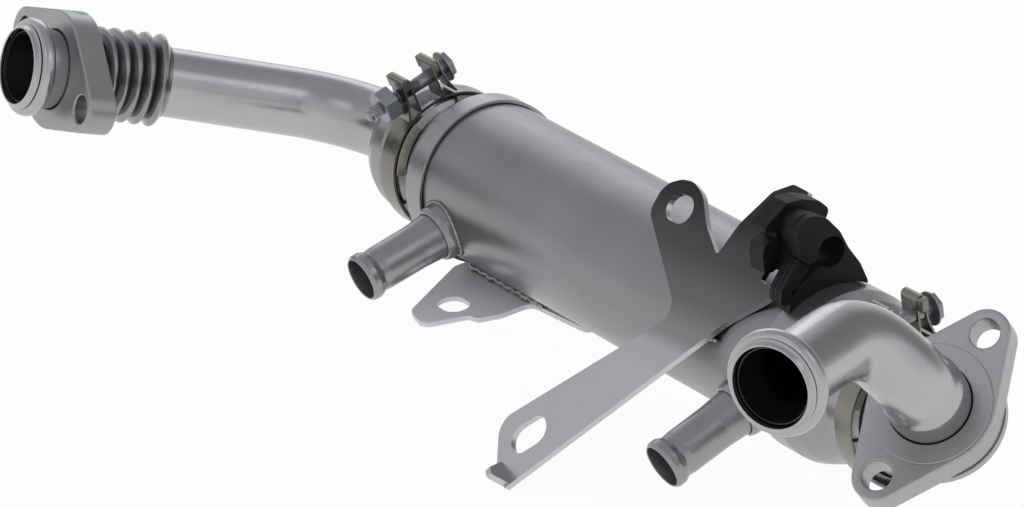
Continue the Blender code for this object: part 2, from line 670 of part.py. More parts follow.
def make_clamp(side, x, turn, outboard):
    """Make one V-band clamp: strap with splayed T ears, three V segments, bolt and nut.

    The strap and its bolt stand off from the joint's middle, towards the outboard sign.
    """
    away = Vector((0.0, math.cos(turn), math.sin(turn)))
    frame = axis_frame((x, 0.0, 0.0), (1.0, 0.0, 0.0), away)
    outline = strip_outline(strap_path(), STRAP_THICKNESS)
    bm = prism(outline, STRAP_WIDTH)
    bmesh.ops.translate(bm, verts=bm.verts, vec=(0.0, 0.0, -STRAP_WIDTH / 2))
    strap_place = along(frame, outboard * STRAP_SHIFT)
    strap = new_object(f"{side}_clamp_strap", mesh_from(bm, "strap"), strap_place, CLAMP_STEEL)
    wing_place = along(strap_place, outboard * EAR_WING_SHIFT)
    low, high = EAR_TOP - EAR_WING_HEIGHT, EAR_TOP - 3 * EAR_WING_INSET
    for number, way in enumerate((-1, 1), start=1):
        near, far = way * (EAR_INNER + EAR_WING_INSET), way * (EAR_OUTER - EAR_WING_INSET)
        wing = prism([(low, near), (high, near), (high, far), (low, far)], EAR_WING_WIDTH)
        bmesh.ops.translate(wing, verts=wing.verts, vec=(0.0, 0.0, -EAR_WING_WIDTH / 2))
        name = f"{side}_clamp_wing_{number}"
        combine(strap, new_cutter(name, mesh_from(wing, name), wing_place), "UNION")
    across = Vector((0.0, -math.sin(turn), math.cos(turn)))
    bolt_centre = wing_place.to_translation() + away * CLAMP_BOLT_RADIUS
    bolt_way = axis_frame(bolt_centre, -across, (1.0, 0.0, 0.0))
    hole = rod_cutter(f"{side}_clamp_hole", bolt_way, BOLT_RADIUS + BOLT_CLEARANCE, 4 * EAR_OUTER)
    combine(strap, hole, "DIFFERENCE")
    for number, span in enumerate(SEGMENT_SPANS, start=1):
        make_segment(f"{side}_clamp_segment_{number}", frame, span)

    seat = EAR_SPLAY + GAP
    nut_seat = -seat
    tip = nut_seat - NUT_HEIGHT - BOLT_TIP
    flange_top = seat + BOLT_FLANGE_HEIGHT
    profile = [(0.0, flange_top + BOLT_HEAD_HEIGHT * 0.5), (0.8 * BOLT_FLANGE_RADIUS * 0.85, flange_top),
               (BOLT_FLANGE_RADIUS, flange_top - BOLT_FLANGE_HEIGHT / 2), (BOLT_FLANGE_RADIUS, seat),
               (BOLT_RADIUS, seat), (BOLT_RADIUS, tip + BOLT_RADIUS / 4), (0.75 * BOLT_RADIUS, tip), (0.0, tip)]
    bolt = turned(f"{side}_clamp_bolt", profile, bolt_way, BOLT_ZINC, TUBE_SIDES, closed=False)
    mesh, place = hexagon(BOLT_HEAD_ACROSS, BOLT_HEAD_HEIGHT + BOLT_FLANGE_HEIGHT / 2,
                          along(bolt_way, seat + BOLT_FLANGE_HEIGHT / 2), f"{side}_clamp_hex")
    combine(bolt, new_cutter(f"{side}_clamp_hex", mesh, place), "UNION")
    mesh, place = hexagon(NUT_ACROSS, NUT_HEIGHT, along(bolt_way, nut_seat - NUT_HEIGHT), f"{side}_nut")
    nut = new_object(f"{side}_clamp_nut", mesh, place, BOLT_ZINC)
    thread = rod_cutter(f"{side}_clamp_thread", along(bolt_way, nut_seat - NUT_HEIGHT / 2),
                        BOLT_RADIUS + GAP, 2 * NUT_HEIGHT, TUBE_SIDES)
    combine(nut, thread, "DIFFERENCE")

    half = GASKET_THICKNESS / 2
    outer = RIM_RADIUS - GAP
    ring = [(outer, half), (outer, -half), (outer - GASKET_WIDTH, -half), (outer - GASKET_WIDTH, half)]
    turned(f"{side}_clamp_gasket", ring, frame, GRAPHITE, PIPE_SIDES)


def end_stations(mouth):
    """Return the outer and the bore (distance behind the mouth, radius) pairs of a beaded end."""
    start, length = END_BEAD_START, END_BEAD_LENGTH
    outer = [(0.0, END_LIP_RADIUS), (start - 0.0010, END_LIP_RADIUS + 0.0004),
             (start + 0.15 * length, END_BEAD_RADIUS - 0.0008), (start + 0.45 * length, END_BEAD_RADIUS),
             (start + 0.75 * length, END_BEAD_RADIUS - 0.0012), (start + length, END_NECK_RADIUS + 0.0004),
             (start + length + 0.0010, END_NECK_RADIUS)]
    bore = [(0.0, END_BORE), (start + length, END_BORE)]
    skin = [(along(mouth, -back), radius) for back, radius in outer]
    inside = [(along(mouth, -back), radius) for back, radius in bore]
    return skin, inside


def make_liner(name, mouth):
    """Make the thin stepped liner that sits inside a beaded end."""
    wide = END_BORE - 2 * GAP
    narrow = PIPE_RADIUS - PIPE_WALL - GAP
    step = END_BEAD_START + END_BEAD_LENGTH - 0.0010
    outer = [(wide, -LINER_RECESS), (wide, -step), (narrow, -END_LENGTH), (narrow, -LINER_LENGTH)]
    inner = [(r - LINER_WALL, h) for r, h in reversed(outer)]
    turned(name, outer + inner, mouth, STAINLESS, PIPE_SIDES)


def flange_mesh(name, frame, bore, finish, face_step):
    """Make an oval flange whose front face is at the frame, its body behind it."""
    half = FLANGE_HOLE_SPACING / 2
    bm = prism(oval_outline(FLANGE_WAIST, FLANGE_LOBE, half), FLANGE_THICKNESS)
    bmesh.ops.translate(bm, verts=bm.verts, vec=(0.0, 0.0, -FLANGE_THICKNESS))
    rims = [e for e in bm.edges if abs(e.verts[0].co.z - e.verts[1].co.z) < FLANGE_EDGE]
    bmesh.ops.bevel(bm, geom=rims, offset=FLANGE_EDGE, affect="EDGES", segments=1, profile=0.5, material=-1)
    flange = new_object(name, mesh_from(bm, name), frame, finish)
    if face_step:
        ring = rod_cutter(f"{name}_face", frame, FLANGE_FACE_RADIUS, 2 * FLANGE_FACE_STEP, SHELL_SIDES)
        combine(flange, ring, "UNION")
    middle = along(frame, -FLANGE_THICKNESS / 2)
    combine(flange, rod_cutter(f"{name}_bore", middle, bore, 2 * FLANGE_THICKNESS, PIPE_SIDES), "DIFFERENCE")
    for number, way in enumerate((-1, 1), start=1):
        spot = middle @ Matrix.Translation((way * half, 0.0, 0.0))
        hole = rod_cutter(f"{name}_hole_{number}", spot, FLANGE_HOLE_RADIUS, 2 * FLANGE_THICKNESS, STUB_SIDES)
        combine(flange, hole, "DIFFERENCE")


def inlet_start():
    """Return the frame at the inlet joint that looks along the gas pipe."""
    side = (0.0, -math.cos(INLET_ROLL), math.sin(INLET_ROLL))
    return axis_frame((INLET_CLAMP_X, 0.0, 0.0), (-1.0, 0.0, 0.0), side)


def outlet_start():
    """Return the frame at the outlet joint that looks along the elbow casting."""
    side = (0.0, -math.cos(OUTLET_ROLL), math.sin(OUTLET_ROLL))
    return axis_frame((OUTLET_CLAMP_X, 0.0, 0.0), (1.0, 0.0, 0.0), side)


def bend_frames(frame, radius, angle, steps):
    """Return the frames along a bend, without its start."""
    return [bent(frame, radius, angle * (i + 1) / steps) for i in range(steps)]


def make_inlet_side():
    """Make the cup, bent pipe, bellows, flange, beaded stub and liner of the inlet."""
    start = inlet_start()
    back, edge, face = rim_profile()
    neck_in = NECK_RADIUS - NECK_WALL
    collar, top = PIPE_RADIUS + GAP, CUP_LENGTH + CUP_DOME
    wall = CAP_WALL
    outer = [(collar + wall, top + CUP_COLLAR), (collar + wall, top), (0.55 * CUP_RADIUS + 0.45 * collar, top - 0.10 * CUP_DOME),
             (0.86 * CUP_RADIUS + 0.14 * collar, CUP_LENGTH + 0.52 * CUP_DOME), (CUP_RADIUS, CUP_LENGTH),
             (CUP_RADIUS, CUP_LENGTH - CUP_STRAIGHT), (NECK_RADIUS, back[1] + NECK_RUN), back, edge, face]
    inner = [(neck_in, face[1]), (neck_in, back[1] + NECK_RUN), (CUP_RADIUS - wall, CUP_LENGTH - CUP_STRAIGHT),
             (CUP_RADIUS - wall, CUP_LENGTH), (0.86 * CUP_RADIUS + 0.14 * collar - wall, CUP_LENGTH + 0.40 * CUP_DOME),
             (collar, top - 1.2 * wall), (collar, top + CUP_COLLAR)]
    turned("inlet_cup", outer + inner, start, STAINLESS, SHELL_SIDES)

    bore = PIPE_RADIUS - PIPE_WALL
    bend_start = along(start, INLET_BEND_START)
    steps = round(INLET_BEND_ANGLE / BEND_STEP)
    route = [along(start, INLET_PIPE_START), bend_start]
    route += bend_frames(bend_start, INLET_BEND_RADIUS, INLET_BEND_ANGLE, steps)
    pipe_end = along(route[-1], INLET_STRAIGHT)
    route.append(pipe_end)
    skin = [(frame, PIPE_RADIUS) for frame in route]
    lofted("inlet_pipe", skin + [(frame, bore) for frame in reversed(route)], STAINLESS, PIPE_SIDES)

    bellows_start = along(pipe_end, -BELLOWS_CUFF)
    length = BELLOWS_WAVES * BELLOWS_PITCH
    arc = length / BELLOWS_BEND
    shape = ((0.10, BELLOWS_ROOT), (0.34, BELLOWS_CREST), (0.66, BELLOWS_CREST), (0.90, BELLOWS_ROOT))
    skin, inside = [(bellows_start, PIPE_RADIUS + GAP + BELLOWS_WALL)], [(bellows_start, PIPE_RADIUS + GAP)]
    for wave in range(BELLOWS_WAVES):
        for share, radius in shape:
            turn = BELLOWS_BEND * (wave + share) / BELLOWS_WAVES
            skin.append((bent(pipe_end, arc, turn), radius))
            inside.append((bent(pipe_end, arc, turn), radius - BELLOWS_WALL))
    bellows_end = bent(pipe_end, arc, BELLOWS_BEND)
    skin.append((bellows_end, BELLOWS_ROOT))
    inside.append((bellows_end, BELLOWS_ROOT - BELLOWS_WALL))
    lofted("inlet_bellows", skin + inside[::-1], STAINLESS, PIPE_SIDES)

    tail = along(bellows_end, GAP)
    flange_front = along(tail, INLET_STUB_TAIL + FLANGE_THICKNESS)
    mouth = along(flange_front, INLET_STUB_REACH)
    skin, inside = end_stations(mouth)
    shaft = END_NECK_RADIUS
    skin += [(along(tail, INLET_STUB_TAIL - 0.0010), shaft), (tail, BELLOWS_ROOT)]
    inside += [(along(mouth, -END_LENGTH), bore), (tail, bore)]
    lofted("inlet_stub", skin + inside[::-1], STAINLESS, PIPE_SIDES)
    make_liner("inlet_liner", mouth)
    flange_mesh("inlet_flange", rolled(flange_front, INLET_FLANGE_TURN), shaft + GAP, STAINLESS, False)


def make_outlet_side():
    """Make the elbow casting, flange, swan neck pipe and liner of the outlet."""
    start = outlet_start()
    back, edge, face = rim_profile()
    neck_in = NECK_RADIUS - NECK_WALL
    bend_start = along(start, HUB_STRAIGHT)
    steps = round(HUB_BEND_ANGLE / BEND_STEP)
    route = [bend_start] + bend_frames(bend_start, HUB_BEND_RADIUS, HUB_BEND_ANGLE, steps)
    bend_end = route[-1]
    bore = HUB_RADIUS - HUB_WALL
    skin = [(along(start, face[1]), face[0]), (along(start, edge[1]), edge[0]), (along(start, back[1]), back[0]),
            (along(start, back[1] + 0.0025), NECK_RADIUS), (along(start, HUB_STRAIGHT - 0.0020), HUB_RADIUS + 0.0012)]
    skin += [(frame, HUB_RADIUS) for frame in route]
    boss = [along(bend_end, 0.0012), along(bend_end, 0.0024), along(bend_end, 0.0012 + HUB_BOSS_HEIGHT)]
    skin += [(boss[0], HUB_BOSS_RADIUS - 0.0016), (boss[1], HUB_BOSS_RADIUS), (boss[2], HUB_BOSS_RADIUS)]
    inside = [(along(start, face[1]), neck_in), (along(start, back[1] + 0.0025), neck_in),
              (along(start, HUB_STRAIGHT - 0.0010), bore)]
    inside += [(frame, bore) for frame in route]
    inside += [(boss[2], bore)]
    lofted("outlet_elbow_casting", skin + inside[::-1], STAINLESS, PIPE_SIDES)

    flange_front = along(boss[2], GAP + FLANGE_THICKNESS)
    flange_mesh("outlet_flange", rolled(flange_front, math.pi / 2), SWAN_COLLAR_RADIUS + GAP, STAINLESS, True)

    seat = along(flange_front, -SWAN_SEAT_DEPTH)
    first = along(flange_front, SWAN_COLLAR_REACH)
    first_bend = bend_frames(first, SWAN_FIRST_RADIUS, SWAN_FIRST_ANGLE,
                             round(SWAN_FIRST_ANGLE / BEND_STEP))
    second = rolled(along(first_bend[-1], SWAN_MIDDLE), SWAN_TURN)
    second_bend = bend_frames(second, SWAN_SECOND_RADIUS, SWAN_SECOND_ANGLE,
                              round(SWAN_SECOND_ANGLE / BEND_STEP))
    unturned = [rolled(frame, -SWAN_TURN) for frame in second_bend]
    route = first_bend + [along(first_bend[-1], SWAN_MIDDLE)] + unturned
    neck = along(unturned[-1], SWAN_LAST)
    mouth = along(neck, END_LENGTH)
    pipe_bore = PIPE_RADIUS - PIPE_WALL
    skin = [(seat, SWAN_COLLAR_RADIUS), (along(first, -0.0015), SWAN_COLLAR_RADIUS), (first, PIPE_RADIUS + 0.0004)]
    skin += [(frame, PIPE_RADIUS) for frame in route] + [(along(neck, -0.0020), PIPE_RADIUS)]
    end_skin, end_bore = end_stations(mouth)
    skin += end_skin[::-1]
    inside = [(seat, pipe_bore), (first, pipe_bore)] + [(frame, pipe_bore) for frame in route]
    inside += [(neck, pipe_bore)] + end_bore[::-1]
    lofted("outlet_swan_neck", skin + inside[::-1], STAINLESS, PIPE_SIDES)
    make_liner("outlet_liner", mouth)


def hole_through(piece, name, frame, outline, thickness):
    """Cut a flat outline right through a plate that lies on the frame."""
    cutter = new_cutter(name, mesh_from(prism(outline, 3 * thickness), name), along(frame, -thickness))
    combine(piece, cutter, "DIFFERENCE")


def weld_bead(name, frame, x_range, side, finish):
    """Make the rippled bead in the wedge between a tangent plate and the shell."""
    height = WELD_RADIUS + GAP
    reach = SHELL_RADIUS + GAP + WELD_RADIUS
    across = math.sqrt(reach ** 2 - (SHELL_RADIUS + GAP - height) ** 2)
    spot = frame @ Matrix.Translation((x_range[0], side * across, -height))
    length = x_range[1] - x_range[0]
    ripples = max(3, round(length / (6 * WELD_RADIUS)))
    profile = []
    for i in range(2 * ripples + 1):
        radius = WELD_RADIUS * (1.0 if i % 2 else 0.82)
        profile.append((radius, length * (1 - i / (2 * ripples))))
    profile = [(0.0, length)] + profile + [(0.0, 0.0)]
    line = spot @ Matrix.Rotation(math.pi / 2, 4, "Y")
    turned(name, profile, line, finish, WELD_SIDES, closed=False)


def make_brackets():
    """Make the mounting bracket, the lower bracket and their weld beads."""
    frame = bracket_frame()
    plate = new_object("mounting_bracket", mesh_from(prism(rounded_outline(BRACKET_OUTLINE), BRACKET_THICKNESS),
                       "bracket"), frame, STAINLESS)
    foot, head = (Vector((*BRACKET_OUTLINE[i][:2], BRACKET_THICKNESS)) for i in BRACKET_LIP_CORNERS)
    way = (head - foot).normalized()
    fold = Matrix.Translation(foot) @ Matrix((way, UP, way.cross(UP))).transposed().to_4x4()
    sunk = [(x, y - BRACKET_THICKNESS / 2 * (y == 0.0)) for x, y in BRACKET_LIP]
    lip = new_cutter("bracket_lip", mesh_from(prism(sunk, BRACKET_THICKNESS), "lip"), frame @ fold)
    combine(plate, lip, "UNION")
    eye = slot_outline(*BRACKET_EYE_HOLE, BRACKET_EYE, 0.0)
    slot = slot_outline(*BRACKET_SLOT_HOLE, BRACKET_SLOT, BRACKET_SLOT_TURN)
    hole_through(plate, "bracket_eye", frame, eye, BRACKET_THICKNESS)
    hole_through(plate, "bracket_slot", frame, slot, BRACKET_THICKNESS)
    weld_bead("bracket_weld_upper", frame, BRACKET_WELD, 1, STAINLESS)
    weld_bead("bracket_weld_lower", frame, BRACKET_WELD, -1, STAINLESS)

    frame = tab_frame()
    tab = new_object("lower_bracket", mesh_from(prism(rounded_outline(TAB_OUTLINE), TAB_THICKNESS), "tab"),
                     frame, STAINLESS)
    hole_through(tab, "tab_hole", frame, slot_outline(*TAB_HOLE_SIZE, TAB_HOLE, 0.0), TAB_THICKNESS)
    weld_bead("lower_bracket_weld", frame, TAB_WELD, 1, STAINLESS)


def make_clip():
    """Make the moulded line clip: a hook and a body on the bracket, with one bore and its mouth."""
    frame = bracket_frame() @ Matrix(((0, 0, 1, 0), (1, 0, 0, 0), (0, 1, 0, 0), (0, 0, 0, 1)))
    outline = list(CLIP_HOOK) + list(CLIP_LOBE)
    steps = ((outline, CLIP_START, CLIP_STEP), (CLIP_BODY, CLIP_STEP - GAP, CLIP_END),
             (CLIP_JAW, CLIP_JAW_START, CLIP_END))
    pieces = []
    for number, (points, start, end) in enumerate(steps):
        name = f"clip_{number}"
        mesh = mesh_from(prism(points, end - start), name)
        pieces.append((name, mesh, along(frame, start)))
    clip = new_object("line_clip", pieces[0][1], pieces[0][2], BLACK_PLASTIC)
    for name, mesh, place in pieces[1:]:
        combine(clip, new_cutter(name, mesh, place), "UNION")
    middle = (CLIP_START + CLIP_END) / 2
    length = 2 * (CLIP_END - CLIP_START)
    bore = along(frame, middle) @ Matrix.Translation((*CLIP_BORE, 0.0))
    combine(clip, rod_cutter("clip_bore", bore, CLIP_BORE_RADIUS, length), "DIFFERENCE")
    half = CLIP_MOUTH_WIDTH / 2
    slit = prism([(0.0, -half), (4 * CLIP_BORE_RADIUS, -half), (4 * CLIP_BORE_RADIUS, half), (0.0, half)], length)
    mouth = bore @ Matrix.Rotation(CLIP_MOUTH_TURN, 4, "Z") @ Matrix.Translation((0.0, 0.0, -length / 2))
    combine(clip, new_cutter("clip_mouth", mesh_from(slit, "clip_mouth"), mouth), "DIFFERENCE")
    reach, height = CLIP_PLATE_SEAT
    plate = prism([(-height, -GAP), (height, -GAP), (height, BRACKET_THICKNESS + GAP), (-height, BRACKET_THICKNESS + GAP)],
                  reach)
    combine(clip, new_cutter("clip_plate_seat", mesh_from(plate, "clip_plate_seat"), frame), "DIFFERENCE")
    seat = SHELL_RADIUS + CAP_WALL + 3 * GAP
    below = rod_cutter("clip_seat", shell_frame(middle), seat, length, SHELL_SIDES * 2)
    combine(clip, below, "DIFFERENCE")


def main():
    """Build every piece of the cooler."""
    clear_scene()
    make_shell()
    make_cap("inlet_cap", shell_frame(INLET_CLAMP_X), INLET_CAP_LAP, INLET_CAP_DOME, SHELL_LEFT)
    make_cap("outlet_cap", shell_frame(OUTLET_CLAMP_X, -1), OUTLET_CAP_LAP, OUTLET_CAP_DOME, SHELL_RIGHT)
    make_core()
    make_coolant_stub("inlet", COOLANT_INLET_X, COOLANT_INLET_DROOP)
    make_coolant_stub("outlet", COOLANT_OUTLET_X, COOLANT_OUTLET_DROOP)
    make_clamp("inlet", INLET_CLAMP_X, INLET_CLAMP_TURN, -1)
    make_clamp("outlet", OUTLET_CLAMP_X, OUTLET_CLAMP_TURN, 1)
    make_inlet_side()
    make_outlet_side()
    make_brackets()
    make_clip()


main()
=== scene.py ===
"""Dresses the exhaust gas cooler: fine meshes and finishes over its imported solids.

The classes use the cooler's own coordinates, in metres: its axis runs along X at Y = Z = 0.
show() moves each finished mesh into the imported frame.
"""

import json
import logging
import math
from dataclasses import dataclass
from enum import Enum

import bmesh
import bpy
from bmesh.types import BMEdge, BMesh, BMFace, BMVert
from mathutils import Matrix, Vector

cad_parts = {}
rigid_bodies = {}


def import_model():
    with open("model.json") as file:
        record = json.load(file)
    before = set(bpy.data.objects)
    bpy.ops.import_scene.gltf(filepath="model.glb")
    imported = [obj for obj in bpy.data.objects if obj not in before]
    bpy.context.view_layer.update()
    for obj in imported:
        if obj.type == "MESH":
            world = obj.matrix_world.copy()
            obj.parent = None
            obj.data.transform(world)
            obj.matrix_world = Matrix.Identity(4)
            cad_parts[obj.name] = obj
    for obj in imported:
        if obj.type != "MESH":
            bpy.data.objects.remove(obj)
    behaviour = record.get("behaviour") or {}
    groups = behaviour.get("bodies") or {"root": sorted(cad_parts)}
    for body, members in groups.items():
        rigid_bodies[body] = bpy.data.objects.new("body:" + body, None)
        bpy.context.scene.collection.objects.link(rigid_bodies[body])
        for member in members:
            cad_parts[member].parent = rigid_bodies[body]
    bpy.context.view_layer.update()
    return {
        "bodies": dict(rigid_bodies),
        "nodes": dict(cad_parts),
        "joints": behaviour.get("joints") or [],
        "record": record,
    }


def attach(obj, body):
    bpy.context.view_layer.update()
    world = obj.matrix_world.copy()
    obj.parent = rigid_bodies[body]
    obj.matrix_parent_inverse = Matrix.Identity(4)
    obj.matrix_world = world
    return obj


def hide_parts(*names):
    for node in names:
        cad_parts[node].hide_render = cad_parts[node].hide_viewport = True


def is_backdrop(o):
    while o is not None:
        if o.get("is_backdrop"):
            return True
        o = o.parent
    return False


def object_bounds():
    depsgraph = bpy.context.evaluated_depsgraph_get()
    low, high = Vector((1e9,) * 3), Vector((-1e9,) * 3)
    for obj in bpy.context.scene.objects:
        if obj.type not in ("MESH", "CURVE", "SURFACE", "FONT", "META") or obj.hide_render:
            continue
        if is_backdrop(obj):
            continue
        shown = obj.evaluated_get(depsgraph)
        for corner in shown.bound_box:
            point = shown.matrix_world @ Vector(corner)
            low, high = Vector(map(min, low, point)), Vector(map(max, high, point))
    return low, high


log = logging.getLogger("cooler_scene")

BODY = "root"

# The cooler's axis point X = 0 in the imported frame
AXIS_POINT = Vector((-0.098, 0.025343, -0.025295))
UP = Vector((0.0, 0.0, 1.0))
FULL_TURN = 2 * math.pi

# Sizes that several sub-assemblies share
SHELL_RADIUS = 0.0325
INLET_JOINT = -0.1085
OUTLET_JOINT = 0.2055
BRACKET_TURN = math.radians(144.7)
GAP = 0.0003

# How finely round shapes are divided
BODY_STEPS = 144
CUP_STEPS = 128
PIPE_STEPS = 80
BEND_STEP = math.radians(4)
MERGE = 1e-6
SLOT_CORNERS = 4

Pair = tuple[float, float]
Triple = tuple[float, float, float]
# An outline's (x, y, fillet radius) point, or a profile's (radius, height, fillet radius) point
Corner = Triple
# A ring of a tube: its frame and its radius
Station = tuple[Matrix, float]


class Slot(Enum):
    """The record's material slots."""

    STEEL = "stainless_satin"
    CLAMP = "clamp_steel"
    ZINC = "bolt_zinc"
    GASKET = "graphite_gasket"
    PLASTIC = "black_plastic"


# ---------------------------------------------------------------- node helpers

Tree = bpy.types.NodeTree
Socket = bpy.types.NodeSocket


def noise(tree: Tree, vector: Socket, scale: float, detail: float) -> Socket:
    """Add a noise texture.

    Args:
        tree: The node tree.
        vector: The coordinates it reads.
        scale: The noise's scale.
        detail: The noise's detail.

    Returns:
        The noise's value socket.
    """
    node = tree.nodes.new("ShaderNodeTexNoise")
    node.inputs["Scale"].default_value = scale
    node.inputs["Detail"].default_value = detail
    tree.links.new(vector, node.inputs["Vector"])
    return node.outputs["Fac"]


def remap(tree: Tree, value: Socket, taken: Pair, given: Pair) -> Socket:
    """Add a Map Range node.

    Args:
        tree: The node tree.
        value: The value that is mapped.
        taken: The input's low and high ends.
        given: The output's low and high ends.

    Returns:
        The mapped value's socket.
    """
    node = tree.nodes.new("ShaderNodeMapRange")
    for name, number in zip(("From Min", "From Max", "To Min", "To Max"), (*taken, *given)):
        node.inputs[name].default_value = number
    tree.links.new(value, node.inputs["Value"])
    return node.outputs["Result"]


def ramp(tree: Tree, value: Socket, stops: list[tuple[float, Triple]], ease: bool = False) -> Socket:
    """Add a colour ramp.

    Args:
        tree: The node tree.
        value: The value that it reads.
        stops: Its (position, colour) stops.
        ease: Ease from stop to stop, where it else goes straight.

    Returns:
        The colour's socket.
    """
    node = tree.nodes.new("ShaderNodeValToRGB")
    elements = node.color_ramp.elements
    node.color_ramp.interpolation = "EASE" if ease else "LINEAR"
    while len(elements) < len(stops):
        elements.new(1.0)
    for element, (position, colour) in zip(elements, stops):
        element.position, element.color = position, (*colour, 1.0)
    tree.links.new(value, node.inputs["Fac"])
    return node.outputs["Color"]


def measured(tree: Tree, vector: Socket, operation: str, other: Triple) -> Socket:
    """Measure a vector against a fixed one.

    Args:
        tree: The node tree.
        vector: The vector that is measured.
        operation: What is measured, such as DISTANCE or DOT_PRODUCT.
        other: The fixed vector.

    Returns:
        The measure's socket.
    """
    node = tree.nodes.new("ShaderNodeVectorMath")
    node.operation = operation
    node.inputs[1].default_value = other
    tree.links.new(vector, node.inputs[0])
    return node.outputs["Value"]


def math_node(tree: Tree, operation: str, *values: Socket | float) -> Socket:
    """Add a Math node.

    Args:
        tree: The node tree.
        operation: Its operation.
        values: Its inputs in order, sockets or numbers.

    Returns:
        The result's socket.
    """
    node = tree.nodes.new("ShaderNodeMath")
    node.operation = operation
    for number, value in enumerate(values):
        if isinstance(value, float):
            node.inputs[number].default_value = value
        else:
            tree.links.new(value, node.inputs[number])
    return node.outputs[0]


def mixed(tree: Tree, share: Socket | float, first: Socket | Triple, second: Socket | Triple,
          blend: str = "MIX") -> Socket:
    """Mix two colours.

    Args:
        tree: The node tree.
        share: The second colour's share.
        first: The colour below.
        second: The colour above.
        blend: How they are mixed.

    Returns:
        The mixed colour's socket.
    """
    node = tree.nodes.new("ShaderNodeMix")
    node.data_type, node.blend_type = "RGBA", blend
    for name, value in (("Factor", share), ("A", first), ("B", second)):
        if isinstance(value, Socket):
            tree.links.new(value, node.inputs[name])
        else:
            node.inputs[name].default_value = value if name == "Factor" else (*value, 1.0)
    return node.outputs["Result"]


def bump(tree: Tree, height: Socket, strength: float, depth: float) -> bpy.types.Node:
    """Add a bump node.

    Args:
        tree: The node tree.
        height: The height it reads.
        strength: The bump's strength.
        depth: The height's depth in metres.

    Returns:
        The bump node.
    """
    node = tree.nodes.new("ShaderNodeBump")
    node.inputs["Strength"].default_value = strength
    node.inputs["Distance"].default_value = depth
    tree.links.new(height, node.inputs["Height"])
    return node


# ---------------------------------------------------------------- finishes

# The noise values that clouds and grain are spread between, and the depth of grain and dents in metres
CLOUD_VALUES = (0.35, 0.75)
GRAIN_VALUES = (0.25, 0.75)
GRAIN_DEPTH = 0.0001
DENT_DEPTH = 0.002
# A dab of paint: how much it covers, how metallic it is, and the size and share of its ragged edge
PAINT_COVER = 0.8
PAINT_METALLIC = 0.1
RAGGED_SCALE = 300.0
RAGGED_SHARE = 0.6


